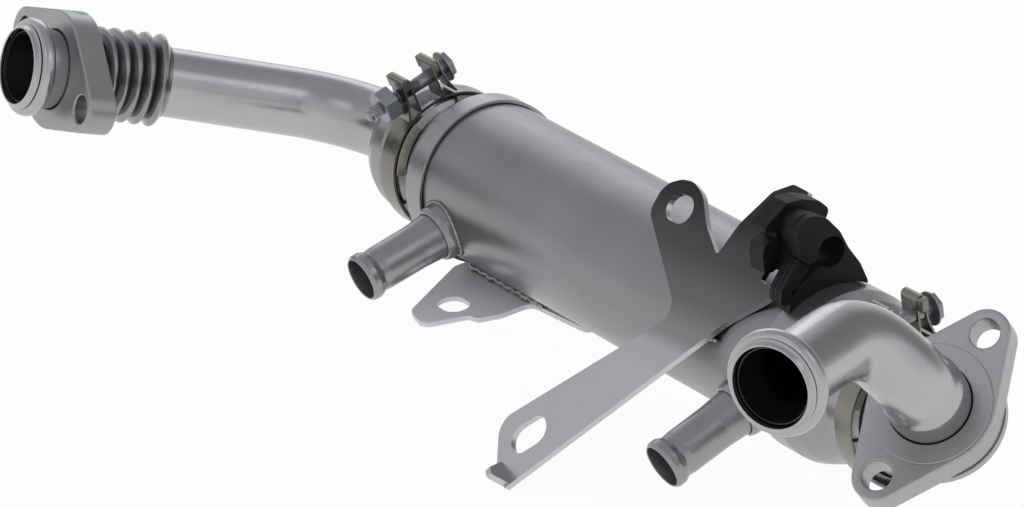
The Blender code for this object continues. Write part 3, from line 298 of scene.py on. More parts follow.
@dataclass(frozen=True)
class Finish:
    """A metal or plastic finish with its own grain, stain and bump.

    A finish may carry painted shade, darkening its colour along a direction by (metres along it, share of its
    brightness) stops, and may carry one dab of marking paint.
    """

    name: str
    slot: Slot
    colour: Triple
    stain: Triple
    metallic: float = 1.0
    specular: float = 0.5
    roughness: float = 0.32
    rough_spread: float = 0.12
    grain: Triple = (420.0, 420.0, 420.0)
    grain_bump: float = 0.10
    cloud_size: float = 30.0
    cloud_depth: float = 0.35
    dent_size: float = 60.0
    dent_bump: float = 0.05
    painted_shade_way: Triple | None = None
    painted_shade_stops: tuple[Pair, ...] = ()
    daub: Triple | None = None
    daub_size: float = 0.004
    daub_colour: Triple = (0.03, 0.30, 0.28)

    def build(self) -> bpy.types.Material:
        """Make the material, or return it if it was made before.

        Returns:
            The finish as a node material on Object coordinates.
        """
        found = bpy.data.materials.get(self.name)
        if found is not None:
            return found
        made = bpy.data.materials.new(self.name)
        made.use_nodes = True
        tree = made.node_tree
        shader = tree.nodes["Principled BSDF"]
        shader.inputs["Metallic"].default_value = self.metallic
        shader.inputs["Specular IOR Level"].default_value = self.specular
        place = tree.nodes.new("ShaderNodeTexCoord").outputs["Object"]
        stretch = tree.nodes.new("ShaderNodeMapping")
        stretch.inputs["Scale"].default_value = self.grain
        tree.links.new(place, stretch.inputs["Vector"])
        grain = noise(tree, stretch.outputs["Vector"], scale=1.0, detail=4.0)
        cloud = noise(tree, place, self.cloud_size, detail=3.0)
        dent = noise(tree, place, self.dent_size, detail=1.0)
        share = remap(tree, cloud, CLOUD_VALUES, (0.0, self.cloud_depth))
        painted = mixed(tree, share, self.colour, self.stain)
        if self.painted_shade_way:
            painted = self._paint_shade(tree, place, painted)
        if self.daub:
            painted = self._daub(tree, place, painted, shader)
        tree.links.new(painted, shader.inputs["Base Color"])
        half = self.rough_spread / 2
        rough = remap(tree, grain, GRAIN_VALUES, (self.roughness - half, self.roughness + half))
        tree.links.new(rough, shader.inputs["Roughness"])
        fine = bump(tree, grain, self.grain_bump, GRAIN_DEPTH)
        broad = bump(tree, dent, self.dent_bump, DENT_DEPTH)
        tree.links.new(fine.outputs["Normal"], broad.inputs["Normal"])
        tree.links.new(broad.outputs["Normal"], shader.inputs["Normal"])
        return made

    def _paint_shade(self, tree: Tree, place: Socket, colour: Socket) -> Socket:
        """Paint shade into the colour along a direction, so that a wide sheet is painted darker from one end to the
        other.

        Args:
            tree: The material's node tree.
            place: The Object coordinates.
            colour: The colour that is darkened.

        Returns:
            The darkened colour's socket.
        """
        start, end = self.painted_shade_stops[0][0], self.painted_shade_stops[-1][0]
        share = remap(tree, measured(tree, place, "DOT_PRODUCT", self.painted_shade_way), (start, end), (0.0, 1.0))
        stops = [((where - start) / (end - start), (tone, tone, tone)) for where, tone in self.painted_shade_stops]
        return mixed(tree, 1.0, colour, ramp(tree, share, stops, ease=True), "MULTIPLY")

    def _daub(self, tree: Tree, place: Socket, colour: Socket, shader: bpy.types.Node) -> Socket:
        """Lay a dab of marking paint over the metal at one spot.

        Args:
            tree: The material's node tree.
            place: The Object coordinates.
            colour: The metal's colour.
            shader: The shader, whose metallic share the paint lowers.

        Returns:
            The painted colour's socket.
        """
        reach = measured(tree, place, "DISTANCE", self.daub)
        ragged = math_node(tree, "MULTIPLY_ADD", noise(tree, place, RAGGED_SCALE, detail=2.0),
                           RAGGED_SHARE * self.daub_size, reach)
        edge = 1.3 * self.daub_size
        mask = remap(tree, ragged, (0.8 * edge, edge), (PAINT_COVER, 0.0))
        tree.links.new(remap(tree, mask, (0.0, PAINT_COVER), (self.metallic, PAINT_METALLIC)),
                       shader.inputs["Metallic"])
        return mixed(tree, mask, colour, self.daub_colour)


DRAWN_STEEL = Finish("drawn_steel", Slot.STEEL, (0.275, 0.270, 0.288), (0.225, 0.218, 0.221), roughness=0.33,
                     rough_spread=0.10, grain=(60.0, 900.0, 900.0), grain_bump=0.07, cloud_size=18.0, cloud_depth=0.7,
                     dent_size=34.0, dent_bump=0.09)
PRESSED_STEEL = Finish("pressed_steel", Slot.STEEL, (0.335, 0.329, 0.340), (0.270, 0.262, 0.262), metallic=0.85,
                       roughness=0.30, rough_spread=0.08, grain_bump=0.05)
PIPE_STEEL = Finish("pipe_steel", Slot.STEEL, (0.450, 0.446, 0.460), (0.375, 0.365, 0.365), roughness=0.25,
                    rough_spread=0.08, grain_bump=0.04, cloud_size=30.0, cloud_depth=0.6, dent_size=50.0,
                    dent_bump=0.05)
BELLOWS_STEEL = Finish("bellows_steel", Slot.STEEL, (0.300, 0.295, 0.303), (0.230, 0.224, 0.224), roughness=0.24,
                       rough_spread=0.06, grain_bump=0.03)
CAST_STEEL = Finish("cast_steel", Slot.STEEL, (0.410, 0.405, 0.412), (0.330, 0.324, 0.322), metallic=0.9,
                    roughness=0.36, rough_spread=0.10, grain=(700.0, 700.0, 700.0), grain_bump=0.10)
FLANGE_STEEL = Finish("flange_steel", Slot.STEEL, (0.380, 0.374, 0.380), (0.300, 0.293, 0.291), metallic=0.9,
                      roughness=0.36, rough_spread=0.10, grain=(500.0, 500.0, 500.0), grain_bump=0.12,
                      daub=(-0.3120, -0.0848, 0.0271), daub_size=0.0045)
# Painted light: a near-white, barely metallic steel, so that the lower plate stays bright in the shell's shadow. The
# imported steel nodes that stay visible take it too.
PAINTED_LIGHT_STEEL = Finish("painted_light_steel", Slot.STEEL, (0.90, 0.89, 0.925), (0.72, 0.70, 0.71), metallic=0.08,
                     roughness=0.40, rough_spread=0.10, grain_bump=0.06)
# The mounting plate's colour carries painted shade: it is painted dark at one end and lighter towards the other.
MOUNT_STEEL = Finish("mount_steel", Slot.STEEL, (0.500, 0.497, 0.515), (0.430, 0.425, 0.430), roughness=0.32,
                     rough_spread=0.08, grain_bump=0.05, painted_shade_way=(0.0474, -0.5772, -0.8152),
                     painted_shade_stops=((-0.028, 0.07), (-0.010, 0.16), (0.008, 0.31), (0.024, 0.55), (0.032, 0.92),
                                 (0.046, 1.0)))
# Painted highlight: a brighter steel on the mounting plate's rims and holes, for the bright line of light along its
# edges.
RIM_HIGHLIGHT_STEEL = Finish("rim_painted_highlight", Slot.STEEL, (0.560, 0.555, 0.570), (0.470, 0.465, 0.470), roughness=0.28,
                   grain_bump=0.04)
BEAD_STEEL = Finish("bead_steel", Slot.STEEL, (0.330, 0.322, 0.318), (0.190, 0.176, 0.160), roughness=0.30,
                    cloud_size=120.0, cloud_depth=0.7)
INSIDE_STEEL = Finish("inside_steel", Slot.STEEL, (0.075, 0.072, 0.070), (0.040, 0.038, 0.036), roughness=0.50)
CLAMP_STEEL = Finish("clamp_strip", Slot.CLAMP, (0.235, 0.226, 0.200), (0.150, 0.142, 0.118), roughness=0.28,
                     rough_spread=0.10, grain_bump=0.06)
DULL_ZINC = Finish("dull_zinc", Slot.ZINC, (0.310, 0.322, 0.350), (0.180, 0.185, 0.198), metallic=0.8, roughness=0.38)
GRAPHITE = Finish("ring_graphite", Slot.GASKET, (0.06, 0.06, 0.06), (0.04, 0.04, 0.04), metallic=0.0, roughness=0.8)
MOULDED_BLACK = Finish("moulded_black", Slot.PLASTIC, (0.0040, 0.0050, 0.0068), (0.007, 0.008, 0.011), metallic=0.0,
                       specular=0.22, roughness=0.52)


# ---------------------------------------------------------------- frames


def axis_frame(origin: tuple | Vector, axis: tuple | Vector, side: tuple | Vector) -> Matrix:
    """Return a frame with local Z along an axis and local X towards a side.

    Args:
        origin: The frame's origin.
        axis: Its Z direction.
        side: The direction its X leans to.

    Returns:
        The frame's matrix.
    """
    z = Vector(axis).normalized()
    x = (Vector(side) - z * Vector(side).dot(z)).normalized()
    return Matrix.Translation(Vector(origin)) @ Matrix((x, z.cross(x), z)).transposed().to_4x4()


def along(frame: Matrix, length: float) -> Matrix:
    """Return the frame moved along its own Z."""
    return frame @ Matrix.Translation((0.0, 0.0, length))


def rolled(frame: Matrix, angle: float) -> Matrix:
    """Return the frame turned about its own Z."""
    return frame @ Matrix.Rotation(angle, 4, "Z")


def bent(frame: Matrix, radius: float, angle: float) -> Matrix:
    """Return the frame at the end of a bend towards its own X."""
    centre = Matrix.Translation((radius, 0.0, 0.0))
    return frame @ centre @ Matrix.Rotation(angle, 4, "Y") @ centre.inverted()


def bend_route(frame: Matrix, radius: float, angle: float) -> list[Matrix]:
    """Return the frames along a bend, without its start."""
    steps = max(2, round(angle / BEND_STEP))
    return [bent(frame, radius, angle * (i + 1) / steps) for i in range(steps)]


def joint_frame(x: float, sign: int = 1) -> Matrix:
    """Return a frame on the cooler's axis whose Z looks to +X or -X."""
    return axis_frame((x, 0.0, 0.0), (sign, 0.0, 0.0), UP)


def tangent_frame(turn: float, stand_off: float) -> Matrix:
    """Return a frame on a plane beside the shell: X along the cooler, Z outwards."""
    out = Vector((0.0, math.cos(turn), math.sin(turn)))
    return axis_frame(out * stand_off, out, (1.0, 0.0, 0.0))


# ---------------------------------------------------------------- mesh work


def wire(bm: BMesh, corners: list[Corner] | tuple[Corner, ...], upright: bool = False, closed: bool = True,
         segments: int = 5) -> None:
    """Add a flat outline whose corners are rounded by a vertex bevel.

    Args:
        bm: The mesh it is added to.
        corners: (x, y, fillet radius) points, or (radius, height, fillet radius) where it stands up.
        upright: Lay it in the XZ plane, as a profile that is spun.
        closed: Join the last point to the first.
        segments: The steps of each rounded corner.
    """
    spots = [Vector((a, 0.0, b)) if upright else Vector((a, b, 0.0)) for a, b, _ in corners]
    verts = [bm.verts.new(spot) for spot in spots]
    count = len(verts)
    for i in range(count if closed else count - 1):
        bm.edges.new((verts[i], verts[(i + 1) % count]))
    for i, (vert, corner) in enumerate(zip(verts, corners)):
        if corner[2] and (closed or 0 < i < count - 1):
            before, after = spots[i - 1] - spots[i], spots[(i + 1) % count] - spots[i]
            reach = corner[2] / math.tan(before.angle(after) / 2)
            if count <= SLOT_CORNERS:
                reach = min(reach, 0.49 * before.length, 0.49 * after.length)
            bmesh.ops.bevel(bm, geom=[vert], offset=reach, offset_type="OFFSET", affect="VERTICES",
                            segments=segments, profile=0.5, material=-1)


def turned(profile: list[Corner], frame: Matrix, steps: int = 96, closed: bool = True) -> BMesh:
    """Spin a profile about a frame's Z.

    Args:
        profile: (radius, height, fillet radius) points.
        frame: Where the turned shape stands.
        steps: The steps of the full turn.
        closed: Join the profile's last point to its first.

    Returns:
        The turned mesh.
    """
    bm = bmesh.new()
    wire(bm, profile, upright=True, closed=closed)
    bmesh.ops.spin(bm, geom=bm.verts[:] + bm.edges[:], cent=(0.0, 0.0, 0.0), axis=UP, angle=FULL_TURN,
                   steps=steps, use_merge=True, use_duplicate=False)
    bmesh.ops.remove_doubles(bm, verts=bm.verts, dist=MERGE)
    bmesh.ops.recalc_face_normals(bm, faces=bm.faces)
    bmesh.ops.transform(bm, matrix=frame, verts=bm.verts)
    return bm


def verts_in(geom: list) -> list[BMVert]:
    """Return the vertices among an operator's results."""
    return [item for item in geom if isinstance(item, BMVert)]


def loft(stations: list[Station], sides: int = 64) -> BMesh:
    """Carry a circle through stations and close the last ring on the first.

    Args:
        stations: (frame, radius) pairs: the outer skin, then the bore back to the start.
        sides: The circle's sides.

    Returns:
        The tube as one closed wall.
    """
    bm = bmesh.new()
    ring = bmesh.ops.create_circle(bm, cap_ends=False, segments=sides, radius=1.0)["verts"]
    edges = first = bm.edges[:]
    here = Matrix()
    for number, (frame, radius) in enumerate(stations):
        there = frame @ Matrix.Scale(radius, 4)
        if number:
            grown = bmesh.ops.extrude_edge_only(bm, edges=edges)["geom"]
            ring = verts_in(grown)
            new = set(ring)
            edges = [item for item in grown if isinstance(item, BMEdge) and new.issuperset(item.verts)]
        bmesh.ops.transform(bm, matrix=there @ here.inverted(), verts=ring)
        here = there
    bmesh.ops.bridge_loops(bm, edges=first + edges)
    bmesh.ops.recalc_face_normals(bm, faces=bm.faces)
    return bm


def soften(bm: BMesh, width: float, sharp: float = math.radians(50), segments: int = 2) -> None:
    """Bevel every edge that is sharper than an angle.

    Args:
        bm: The mesh.
        width: The bevel's width.
        sharp: The smallest angle that is bevelled.
        segments: The bevel's segments.
    """
    edges = [e for e in bm.edges if len(e.link_faces) == 2 and e.calc_face_angle(0.0) > sharp]
    bmesh.ops.bevel(bm, geom=edges, offset=width, offset_type="OFFSET", affect="EDGES", segments=segments,
                    profile=0.5, material=-1, clamp_overlap=True)


def slab(bm: BMesh, thickness: float) -> None:
    """Fill the flat outlines in a mesh and grow the sheet along Z.

    Args:
        bm: The mesh, which holds only the outlines.
        thickness: How far it grows. Below 0 it grows downwards.
    """
    filled = bmesh.ops.triangle_fill(bm, use_beauty=True, use_dissolve=False, edges=bm.edges[:])
    faces = [item for item in filled["geom"] if isinstance(item, BMFace)]
    grown = bmesh.ops.extrude_face_region(bm, geom=faces)["geom"]
    bmesh.ops.translate(bm, verts=verts_in(grown), vec=(0.0, 0.0, thickness))
    bmesh.ops.recalc_face_normals(bm, faces=bm.faces)


def plate(outlines: list[list[Corner] | tuple[Corner, ...]], thickness: float, frame: Matrix, edge: float) -> BMesh:
    """Make a flat plate with rounded rims.

    Args:
        outlines: The outer outline, then its holes.
        thickness: The plate's thickness, from the frame along its Z.
        frame: Where the plate lies.
        edge: The rims' bevel.

    Returns:
        The plate.
    """
    bm = bmesh.new()
    for corners in outlines:
        wire(bm, corners, segments=8)
    slab(bm, thickness)
    soften(bm, edge)
    bmesh.ops.transform(bm, matrix=frame, verts=bm.verts)
    return bm


def slot_corners(width: float, length: float, centre: Pair, turn: float) -> list[Corner]:
    """Return a slot's outline: a box whose corners are rounded to full ends.

    Args:
        width: The slot's width.
        length: Its length over the round ends.
        centre: Its centre.
        turn: The angle of its long side.

    Returns:
        The outline's corners.
    """
    corners = []
    for sx, sy in ((1, 1), (-1, 1), (-1, -1), (1, -1)):
        spot = Matrix.Rotation(turn, 2) @ Vector((sx * length / 2, sy * width / 2))
        corners.append((centre[0] + spot.x, centre[1] + spot.y, width / 2))
    return corners


def join(target: BMesh, other: BMesh) -> None:
    """Add a mesh to another, as one more shell of the same piece.

    Args:
        target: The mesh that grows.
        other: The mesh that is added and freed.
    """
    spare = bpy.data.meshes.new("spare")
    other.to_mesh(spare)
    other.free()
    target.from_mesh(spare)
    bpy.data.meshes.remove(spare)


def beads(spots: list[Vector], radius: float) -> BMesh:
    """Lay overlapping drops along a line, as the ripples of a weld.

    Args:
        spots: The drops' centres.
        radius: Their radius.

    Returns:
        The weld.
    """
    bm = bmesh.new()
    for number, spot in enumerate(spots):
        size = radius * (0.90 + 0.10 * math.sin(1.9 * number) + 0.08 * math.sin(0.7 * number))
        bmesh.ops.create_uvsphere(bm, u_segments=10, v_segments=6, radius=size, matrix=Matrix.Translation(spot))
    return bm


def show(bm: BMesh, name: str, finish: Finish, *nodes: str,
         smooth: float = math.radians(38)) -> bpy.types.Object:
    """Turn a finished mesh into a piece of the cooler.

    Args:
        bm: The mesh, in the cooler's coordinates. It is freed.
        name: The piece's name.
        finish: Its finish.
        nodes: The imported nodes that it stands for.
        smooth: The largest angle that is shaded smooth.

    Returns:
        The piece.
    """
    bmesh.ops.translate(bm, verts=bm.verts, vec=AXIS_POINT)
    mesh = bpy.data.meshes.new(name)
    bm.to_mesh(mesh)
    bm.free()
    mesh.shade_smooth()
    mesh.set_sharp_from_angle(angle=smooth)
    piece = bpy.data.objects.new(name, mesh)
    bpy.context.scene.collection.objects.link(piece)
    mesh.materials.append(finish.build())
    level = piece.modifiers.new("even_normals", "WEIGHTED_NORMAL")
    level.keep_sharp = True
    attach(piece, BODY)
    if nodes:
        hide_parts(*nodes)
    log.info("built %s: %d faces", name, len(mesh.polygons))
    return piece


# ---------------------------------------------------------------- cooler body


@dataclass
class CoolerBody:
    """The drawn shell and its two end caps."""

    radius: float = SHELL_RADIUS
    wall: float = 0.0012
    left: float = -0.0882
    right: float = 0.1690
    inlet_lap: float = 0.0098
    inlet_dome: float = 0.0125
    outlet_lap: float = 0.0135
    outlet_dome: float = 0.0200
    shoulder_in: Pair = (0.24, 0.18)
    shoulder_down: Pair = (0.34, 0.84)
    neck: float = 0.0246
    neck_wall: float = 0.0015
    rim: float = 0.0272
    rim_edge: float = 0.0020
    rim_slope: float = 0.0017
    gasket: float = 0.0012

    def build(self) -> None:
        """Build and dress the shell and the caps."""
        length, inner = self.right - self.left, self.radius - self.wall
        bm = turned([(self.radius, length, 0.0003), (self.radius, 0.0, 0.0003), (inner, 0.0, 0.0),
                     (inner, length, 0.0)], joint_frame(self.left), BODY_STEPS)
        show(bm, "shell_tube", DRAWN_STEEL, "cooler_shell")
        self._cap("inlet_cap", joint_frame(INLET_JOINT), self.inlet_lap, self.inlet_dome, self.left)
        self._cap("outlet_cap", joint_frame(OUTLET_JOINT, -1), self.outlet_lap, self.outlet_dome, self.right)

    def rim_points(self) -> list[Corner]:
        """Return the clamped rim's profile, from its back to its face.

        Returns:
            The (radius, height from the joint, fillet radius) points.
        """
        face = self.gasket / 2 + GAP
        return [(self.neck, face + self.rim_edge + self.rim_slope, 0.0008),
                (self.rim, face + self.rim_edge, 0.0005), (self.rim, face, 0.0003)]

    def _cap(self, name: str, joint: Matrix, lap: float, dome: float, shell_end: float) -> None:
        """Build a cap: skirt over the shell, rounded shoulder, neck and clamped rim.

        Args:
            name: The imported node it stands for.
            joint: The clamped joint's frame.
            lap: How far the skirt laps over the shell.
            dome: The shoulder's depth.
            shell_end: The X of the shell's end.
        """
        skirt, neck_in = self.radius + GAP + self.wall, self.neck - self.neck_wall
        base = abs(joint.to_translation().x - shell_end)
        shoulder, face = base - GAP, self.gasket / 2 + GAP
        rise = skirt - self.neck
        wide, tight = skirt - self.shoulder_in[0] * rise, self.neck + self.shoulder_in[1] * rise
        high, low = shoulder - self.shoulder_down[0] * dome, shoulder - self.shoulder_down[1] * dome
        outer = [(skirt, base + lap, 0.0004), (skirt, shoulder, 0.0020), (wide, high, 0.0060),
                 (tight, low, 0.0040), (self.neck, shoulder - dome, 0.0020)]
        inner = [(neck_in, face, 0.0), (neck_in, shoulder - dome, 0.0020), (tight - self.wall, low, 0.0040),
                 (wide - self.wall, high, 0.0040), (self.radius - self.wall, shoulder, 0.0),
                 (self.radius + GAP, shoulder, 0.0), (self.radius + GAP, base + lap, 0.0)]
        show(turned(outer + self.rim_points() + inner, joint, BODY_STEPS), f"{name}_pressing", PRESSED_STEEL, name)


@dataclass
class CoolantStub:
    """A beaded coolant stub with the collar that is welded round its root."""

    side: str
    x: float
    droop: float
    reach: float = 0.0726
    radius: float = 0.0090
    wall: float = 0.0010
    root: float = 0.0096
    root_length: float = 0.0140
    bead_radius: float = 0.0099
    bead: float = 0.0065
    inner_end: float = 0.0290
    shell: float = SHELL_RADIUS
    collar: float = 0.0115
    collar_top: float = 0.0108
    collar_height: float = 0.0046
    weld: float = 0.0010
    weld_steps: int = 84

    def build(self) -> None:
        """Build and dress the stub and its collar."""
        frame = axis_frame((self.x, 0.0, 0.0), (0.0, -math.cos(self.droop), -math.sin(self.droop)), (1.0, 0.0, 0.0))
        end, taper, top = self.reach, self.shell + self.root_length, self.shell + self.collar_height
        radius, wall, bead = self.radius, self.wall, self.bead
        outer = [(radius, end, 0.0004), (self.bead_radius, end - 0.20 * bead, 0.0008),
                 (self.bead_radius, end - 0.60 * bead, 0.0012), (radius - wall / 3, end - bead, 0.0012),
                 (radius, end - 1.5 * bead, 0.0020), (radius, taper, 0.0040), (self.root, top, 0.0040),
                 (self.root, self.inner_end, 0.0)]
        inner = [(self.root - wall, self.inner_end, 0.0), (self.root - wall, top, 0.0), (radius - wall, taper, 0.0),
                 (radius - wall, end - bead, 0.0), (radius - wall / 2, end, 0.0003)]
        show(turned(outer + inner, frame, PIPE_STEPS), f"coolant_{self.side}_pipe", PRESSED_STEEL,
             f"coolant_{self.side}_stub")
        bore, low = self.root + GAP, self.shell - self.collar_height
        ring = [(self.collar_top, top, 0.0006), (self.collar, top - self.collar_height / 2, 0.0030),
                (self.collar, low, 0.0), (bore, low, 0.0), (bore, top, 0.0)]
        show(turned(ring, frame, PIPE_STEPS), f"coolant_{self.side}_root_collar", PRESSED_STEEL,
             f"coolant_{self.side}_collar")
        spots = []
        reach = self.collar + 0.3 * self.weld
        for i in range(self.weld_steps):
            angle = FULL_TURN * i / self.weld_steps
            x, y = reach * math.cos(angle), reach * math.sin(angle)
            spots.append(frame @ Vector((x, y, math.sqrt(self.shell ** 2 - y ** 2) + 0.2 * self.weld)))
        show(beads(spots, self.weld), f"coolant_{self.side}_weld_ring", BEAD_STEEL)


# ---------------------------------------------------------------- clamps


@dataclass
class BandClamp:
    """A V-band clamp: strap with splayed T ears, V segments, bolt and nut."""

    side: str
    x: float
    turn: float
    outboard: int
    radius: float = 0.0288
    thickness: float = 0.0010
    width: float = 0.0100
    shift: float = 0.0015
    ear_inner: float = 0.0052
    ear_outer: float = 0.0094
    ear_splay: float = 0.0125
    ear_top: float = 0.0458
    ear_foot: float = 0.0283
    ear_root: float = 0.0022
    ear_curve: float = 2.2
    ring_steps: int = 96
    ear_steps: int = 8
    wing_width: float = 0.0124
    wing_height: float = 0.0060
    wing_shift: float = 0.0015
    bolt_height: float = 0.0371
    bolt_radius: float = 0.0028
    head_across: float = 0.0100
    head_height: float = 0.0022
    flange_radius: float = 0.0066
    flange_height: float = 0.0013
    flange_crown: float = 0.0054
    pitch: float = 0.0010
    thread: float = 0.0004
    nut_across: float = 0.0130
    nut_height: float = 0.0065
    tip: float = 0.0062
    crest: float = 0.0042
    foot: float = 0.0060
    flank: float = 0.0030
    spans: tuple[Pair, ...] = ((22, 67), (94, 266), (293, 338))

    def build(self) -> None:
        """Build and dress the clamp's pieces."""
        away = Vector((0.0, math.cos(self.turn), math.sin(self.turn)))
        joint = axis_frame((self.x, 0.0, 0.0), (1.0, 0.0, 0.0), away)
        place = along(joint, self.outboard * self.shift)
        wing = along(place, self.outboard * self.wing_shift)
        bm = strip(self._path(), self.width, self.thickness, place)
        for way in (-1, 1):
            join(bm, self._wing(wing, way))
        show(bm, f"{self.side}_band", CLAMP_STEEL, f"{self.side}_clamp_strap")
        for number, span in enumerate(self.spans, start=1):
            show(self._segment(joint, span), f"{self.side}_v_segment_{number}", CLAMP_STEEL,
                 f"{self.side}_clamp_segment_{number}")
        across = Vector((0.0, -math.sin(self.turn), math.cos(self.turn)))
        centre = wing.to_translation() + away * self.bolt_height
        self._bolt(axis_frame(centre, -across, (1.0, 0.0, 0.0)))

    def _path(self) -> list[Pair]:
        """Return the strap's line: down one ear, round the joint and up the other ear.

        Returns:
            The line's (x, y) points.
        """
        start = math.asin(self.ear_inner / self.radius)
        ring = []
        for i in range(self.ring_steps + 1):
            angle = start + (FULL_TURN - 2 * start) * i / self.ring_steps
            ring.append((self.radius * math.cos(angle), self.radius * math.sin(angle)))
        crown = (self.ear_outer - self.ear_inner) / 2
        top = self.ear_top - crown
        ear = []
        for i in range(self.ear_steps):
            share = i / self.ear_steps
            ear.append((self.ear_foot + (top - self.ear_foot) * share,
                        self.ear_outer + (self.ear_splay - self.ear_outer) * (1 - share) ** self.ear_curve))
        for i in range(self.ear_steps + 1):
            angle = math.pi * i / self.ear_steps
            ear.append((top + crown * math.sin(angle), self.ear_inner + crown + crown * math.cos(angle)))
        ear.append((self.radius + self.ear_root, self.ear_inner))
        return ear + ring + [(x, -y) for x, y in reversed(ear)]

    def _wing(self, frame: Matrix, way: int) -> BMesh:
        """Return one ear's T: the pinched block across the ear's top.

        Args:
            frame: The bolt's plane.
            way: The side of the gap it stands on.

        Returns:
            The block.
        """
        near, far = way * (self.ear_inner + 0.0003), way * (self.ear_outer - 0.0003)
        low, high = self.ear_top - self.wing_height, self.ear_top - 0.0007
        bm = bmesh.new()
        place = frame @ Matrix.Translation(((low + high) / 2, (near + far) / 2, 0.0))
        size = Matrix.Diagonal((high - low, abs(far - near), self.wing_width, 1.0))
        bmesh.ops.create_cube(bm, size=1.0, matrix=place @ size)
        soften(bm, 0.0007, math.radians(60), 3)
        return bm

    def _segment(self, frame: Matrix, span: Pair) -> BMesh:
        """Return one pressed V segment: its section spun over a span of degrees.

        Args:
            frame: The joint's frame.
            span: Where the segment starts and ends, in degrees from the ears.

        Returns:
            The segment.
        """
        crest = self.radius - GAP
        foot, t = crest - self.flank, self.thickness
        half = [(crest, self.crest, 0.0008), (foot, self.foot, 0.0),
                (foot - 0.4 * t, self.foot - 0.9 * t, 0.0), (crest - t, self.crest - 0.6 * t, 0.0005)]
        bm = bmesh.new()
        wire(bm, half + [(r, -z, f) for r, z, f in reversed(half)], upright=True)
        face = bmesh.ops.contextual_create(bm, geom=bm.edges[:])["faces"][0]
        start, end = (math.radians(angle) for angle in span)
        bmesh.ops.rotate(bm, verts=bm.verts, cent=(0.0, 0.0, 0.0), matrix=Matrix.Rotation(start, 3, "Z"))
        bmesh.ops.spin(bm, geom=[face, *bm.edges, *bm.verts], cent=(0.0, 0.0, 0.0), axis=UP,
                       angle=end - start, steps=round((end - start) / BEND_STEP), use_duplicate=False)
        bmesh.ops.recalc_face_normals(bm, faces=bm.faces)
        bmesh.ops.transform(bm, matrix=frame, verts=bm.verts)
        return bm

    def _bolt(self, frame: Matrix) -> None:
        """Build the bolt and the nut.

        Args:
            frame: The frame between the ears whose Z looks to the bolt's head.
        """
        seat = self.ear_splay + GAP
        tip = -seat - self.nut_height - self.tip
        lift = seat + self.flange_height
        shank = [(0.0, lift + 0.0010, 0.0), (self.flange_crown, lift, 0.0),
                 (self.flange_radius, lift - 0.0005, 0.0003), (self.flange_radius, seat, 0.0),
                 (self.bolt_radius, seat, 0.0)]
        height = 0.0
        while height > tip + 0.0016:
            shank += [(self.bolt_radius, height, 0.0), (self.bolt_radius - self.thread, height - self.pitch / 2, 0.0)]
            height -= self.pitch
        shank += [(self.bolt_radius - 0.0003, tip + 0.0008, 0.0), (self.bolt_radius - 0.0010, tip, 0.0),
                  (0.0, tip, 0.0)]
        bm = turned(shank, frame, 32, closed=False)
        join(bm, self._hexagon(along(frame, lift - 0.0004), self.head_across, self.head_height))
        show(bm, f"{self.side}_flange_bolt", DULL_ZINC, f"{self.side}_clamp_bolt")
        bm = self._hexagon(along(frame, -seat - self.nut_height), self.nut_across, self.nut_height)
        show(bm, f"{self.side}_hex_nut", DULL_ZINC, f"{self.side}_clamp_nut")

    @staticmethod
    def _hexagon(frame: Matrix, across: float, height: float) -> BMesh:
        """Return a hexagon with softened edges.

        Args:
            frame: Its base.
            across: Its width over the flats.
            height: Its height.

        Returns:
            The hexagon.
        """
        bm = bmesh.new()
        bmesh.ops.create_cone(bm, cap_ends=True, segments=6, radius1=across / math.sqrt(3),
                              radius2=across / math.sqrt(3), depth=height,
                              matrix=frame @ Matrix.Translation((0.0, 0.0, height / 2)))
        soften(bm, 0.0006, math.radians(30))
        return bm


def strip(path: list[Pair], width: float, thickness: float, frame: Matrix) -> BMesh:
    """Carry a line across a sheet strip along a path and give it a wall.

    Args:
        path: (x, y) points.
        width: The strip's width, which runs along Z.
        thickness: The wall, which grows on the path's right side.
        frame: Where the strip lies.

    Returns:
        The strip.
    """
    spots = [Vector(point) for point in path]
    shifts = []
    for i, spot in enumerate(spots):
        first = (spot - spots[i - 1] if i else spots[1] - spot).normalized()
        second = (spots[i + 1] - spot if i + 1 < len(spots) else first).normalized()
        side = Vector((first.y + second.y, -first.x - second.x)).normalized()
        grow = thickness / max(0.5, side.dot(Vector((first.y, -first.x))))
        shifts.append(Vector((side.x * grow, side.y * grow, 0.0)))
    bm = bmesh.new()
    mark = bm.verts.layers.int.new("station")
    ends = [bm.verts.new((*path[0], end)) for end in (-width / 2, width / 2)]
    edge = bm.edges.new(ends)
    for number, (x, y) in enumerate(path[1:], start=1):
        grown = bmesh.ops.extrude_edge_only(bm, edges=[edge])["geom"]
        ends = verts_in(grown)
        edge = next(item for item in grown if isinstance(item, BMEdge) and set(item.verts) == set(ends))
        for end in ends:
            end.co = (x, y, end.co.z)
            end[mark] = number
    grown = bmesh.ops.extrude_face_region(bm, geom=bm.faces[:])["geom"]
    for vert in verts_in(grown):
        vert.co += shifts[vert[mark]]
    bmesh.ops.recalc_face_normals(bm, faces=bm.faces)
    soften(bm, 0.0002, math.radians(60))
    bmesh.ops.transform(bm, matrix=frame, verts=bm.verts)
    return bm


# ---------------------------------------------------------------- gas pipes


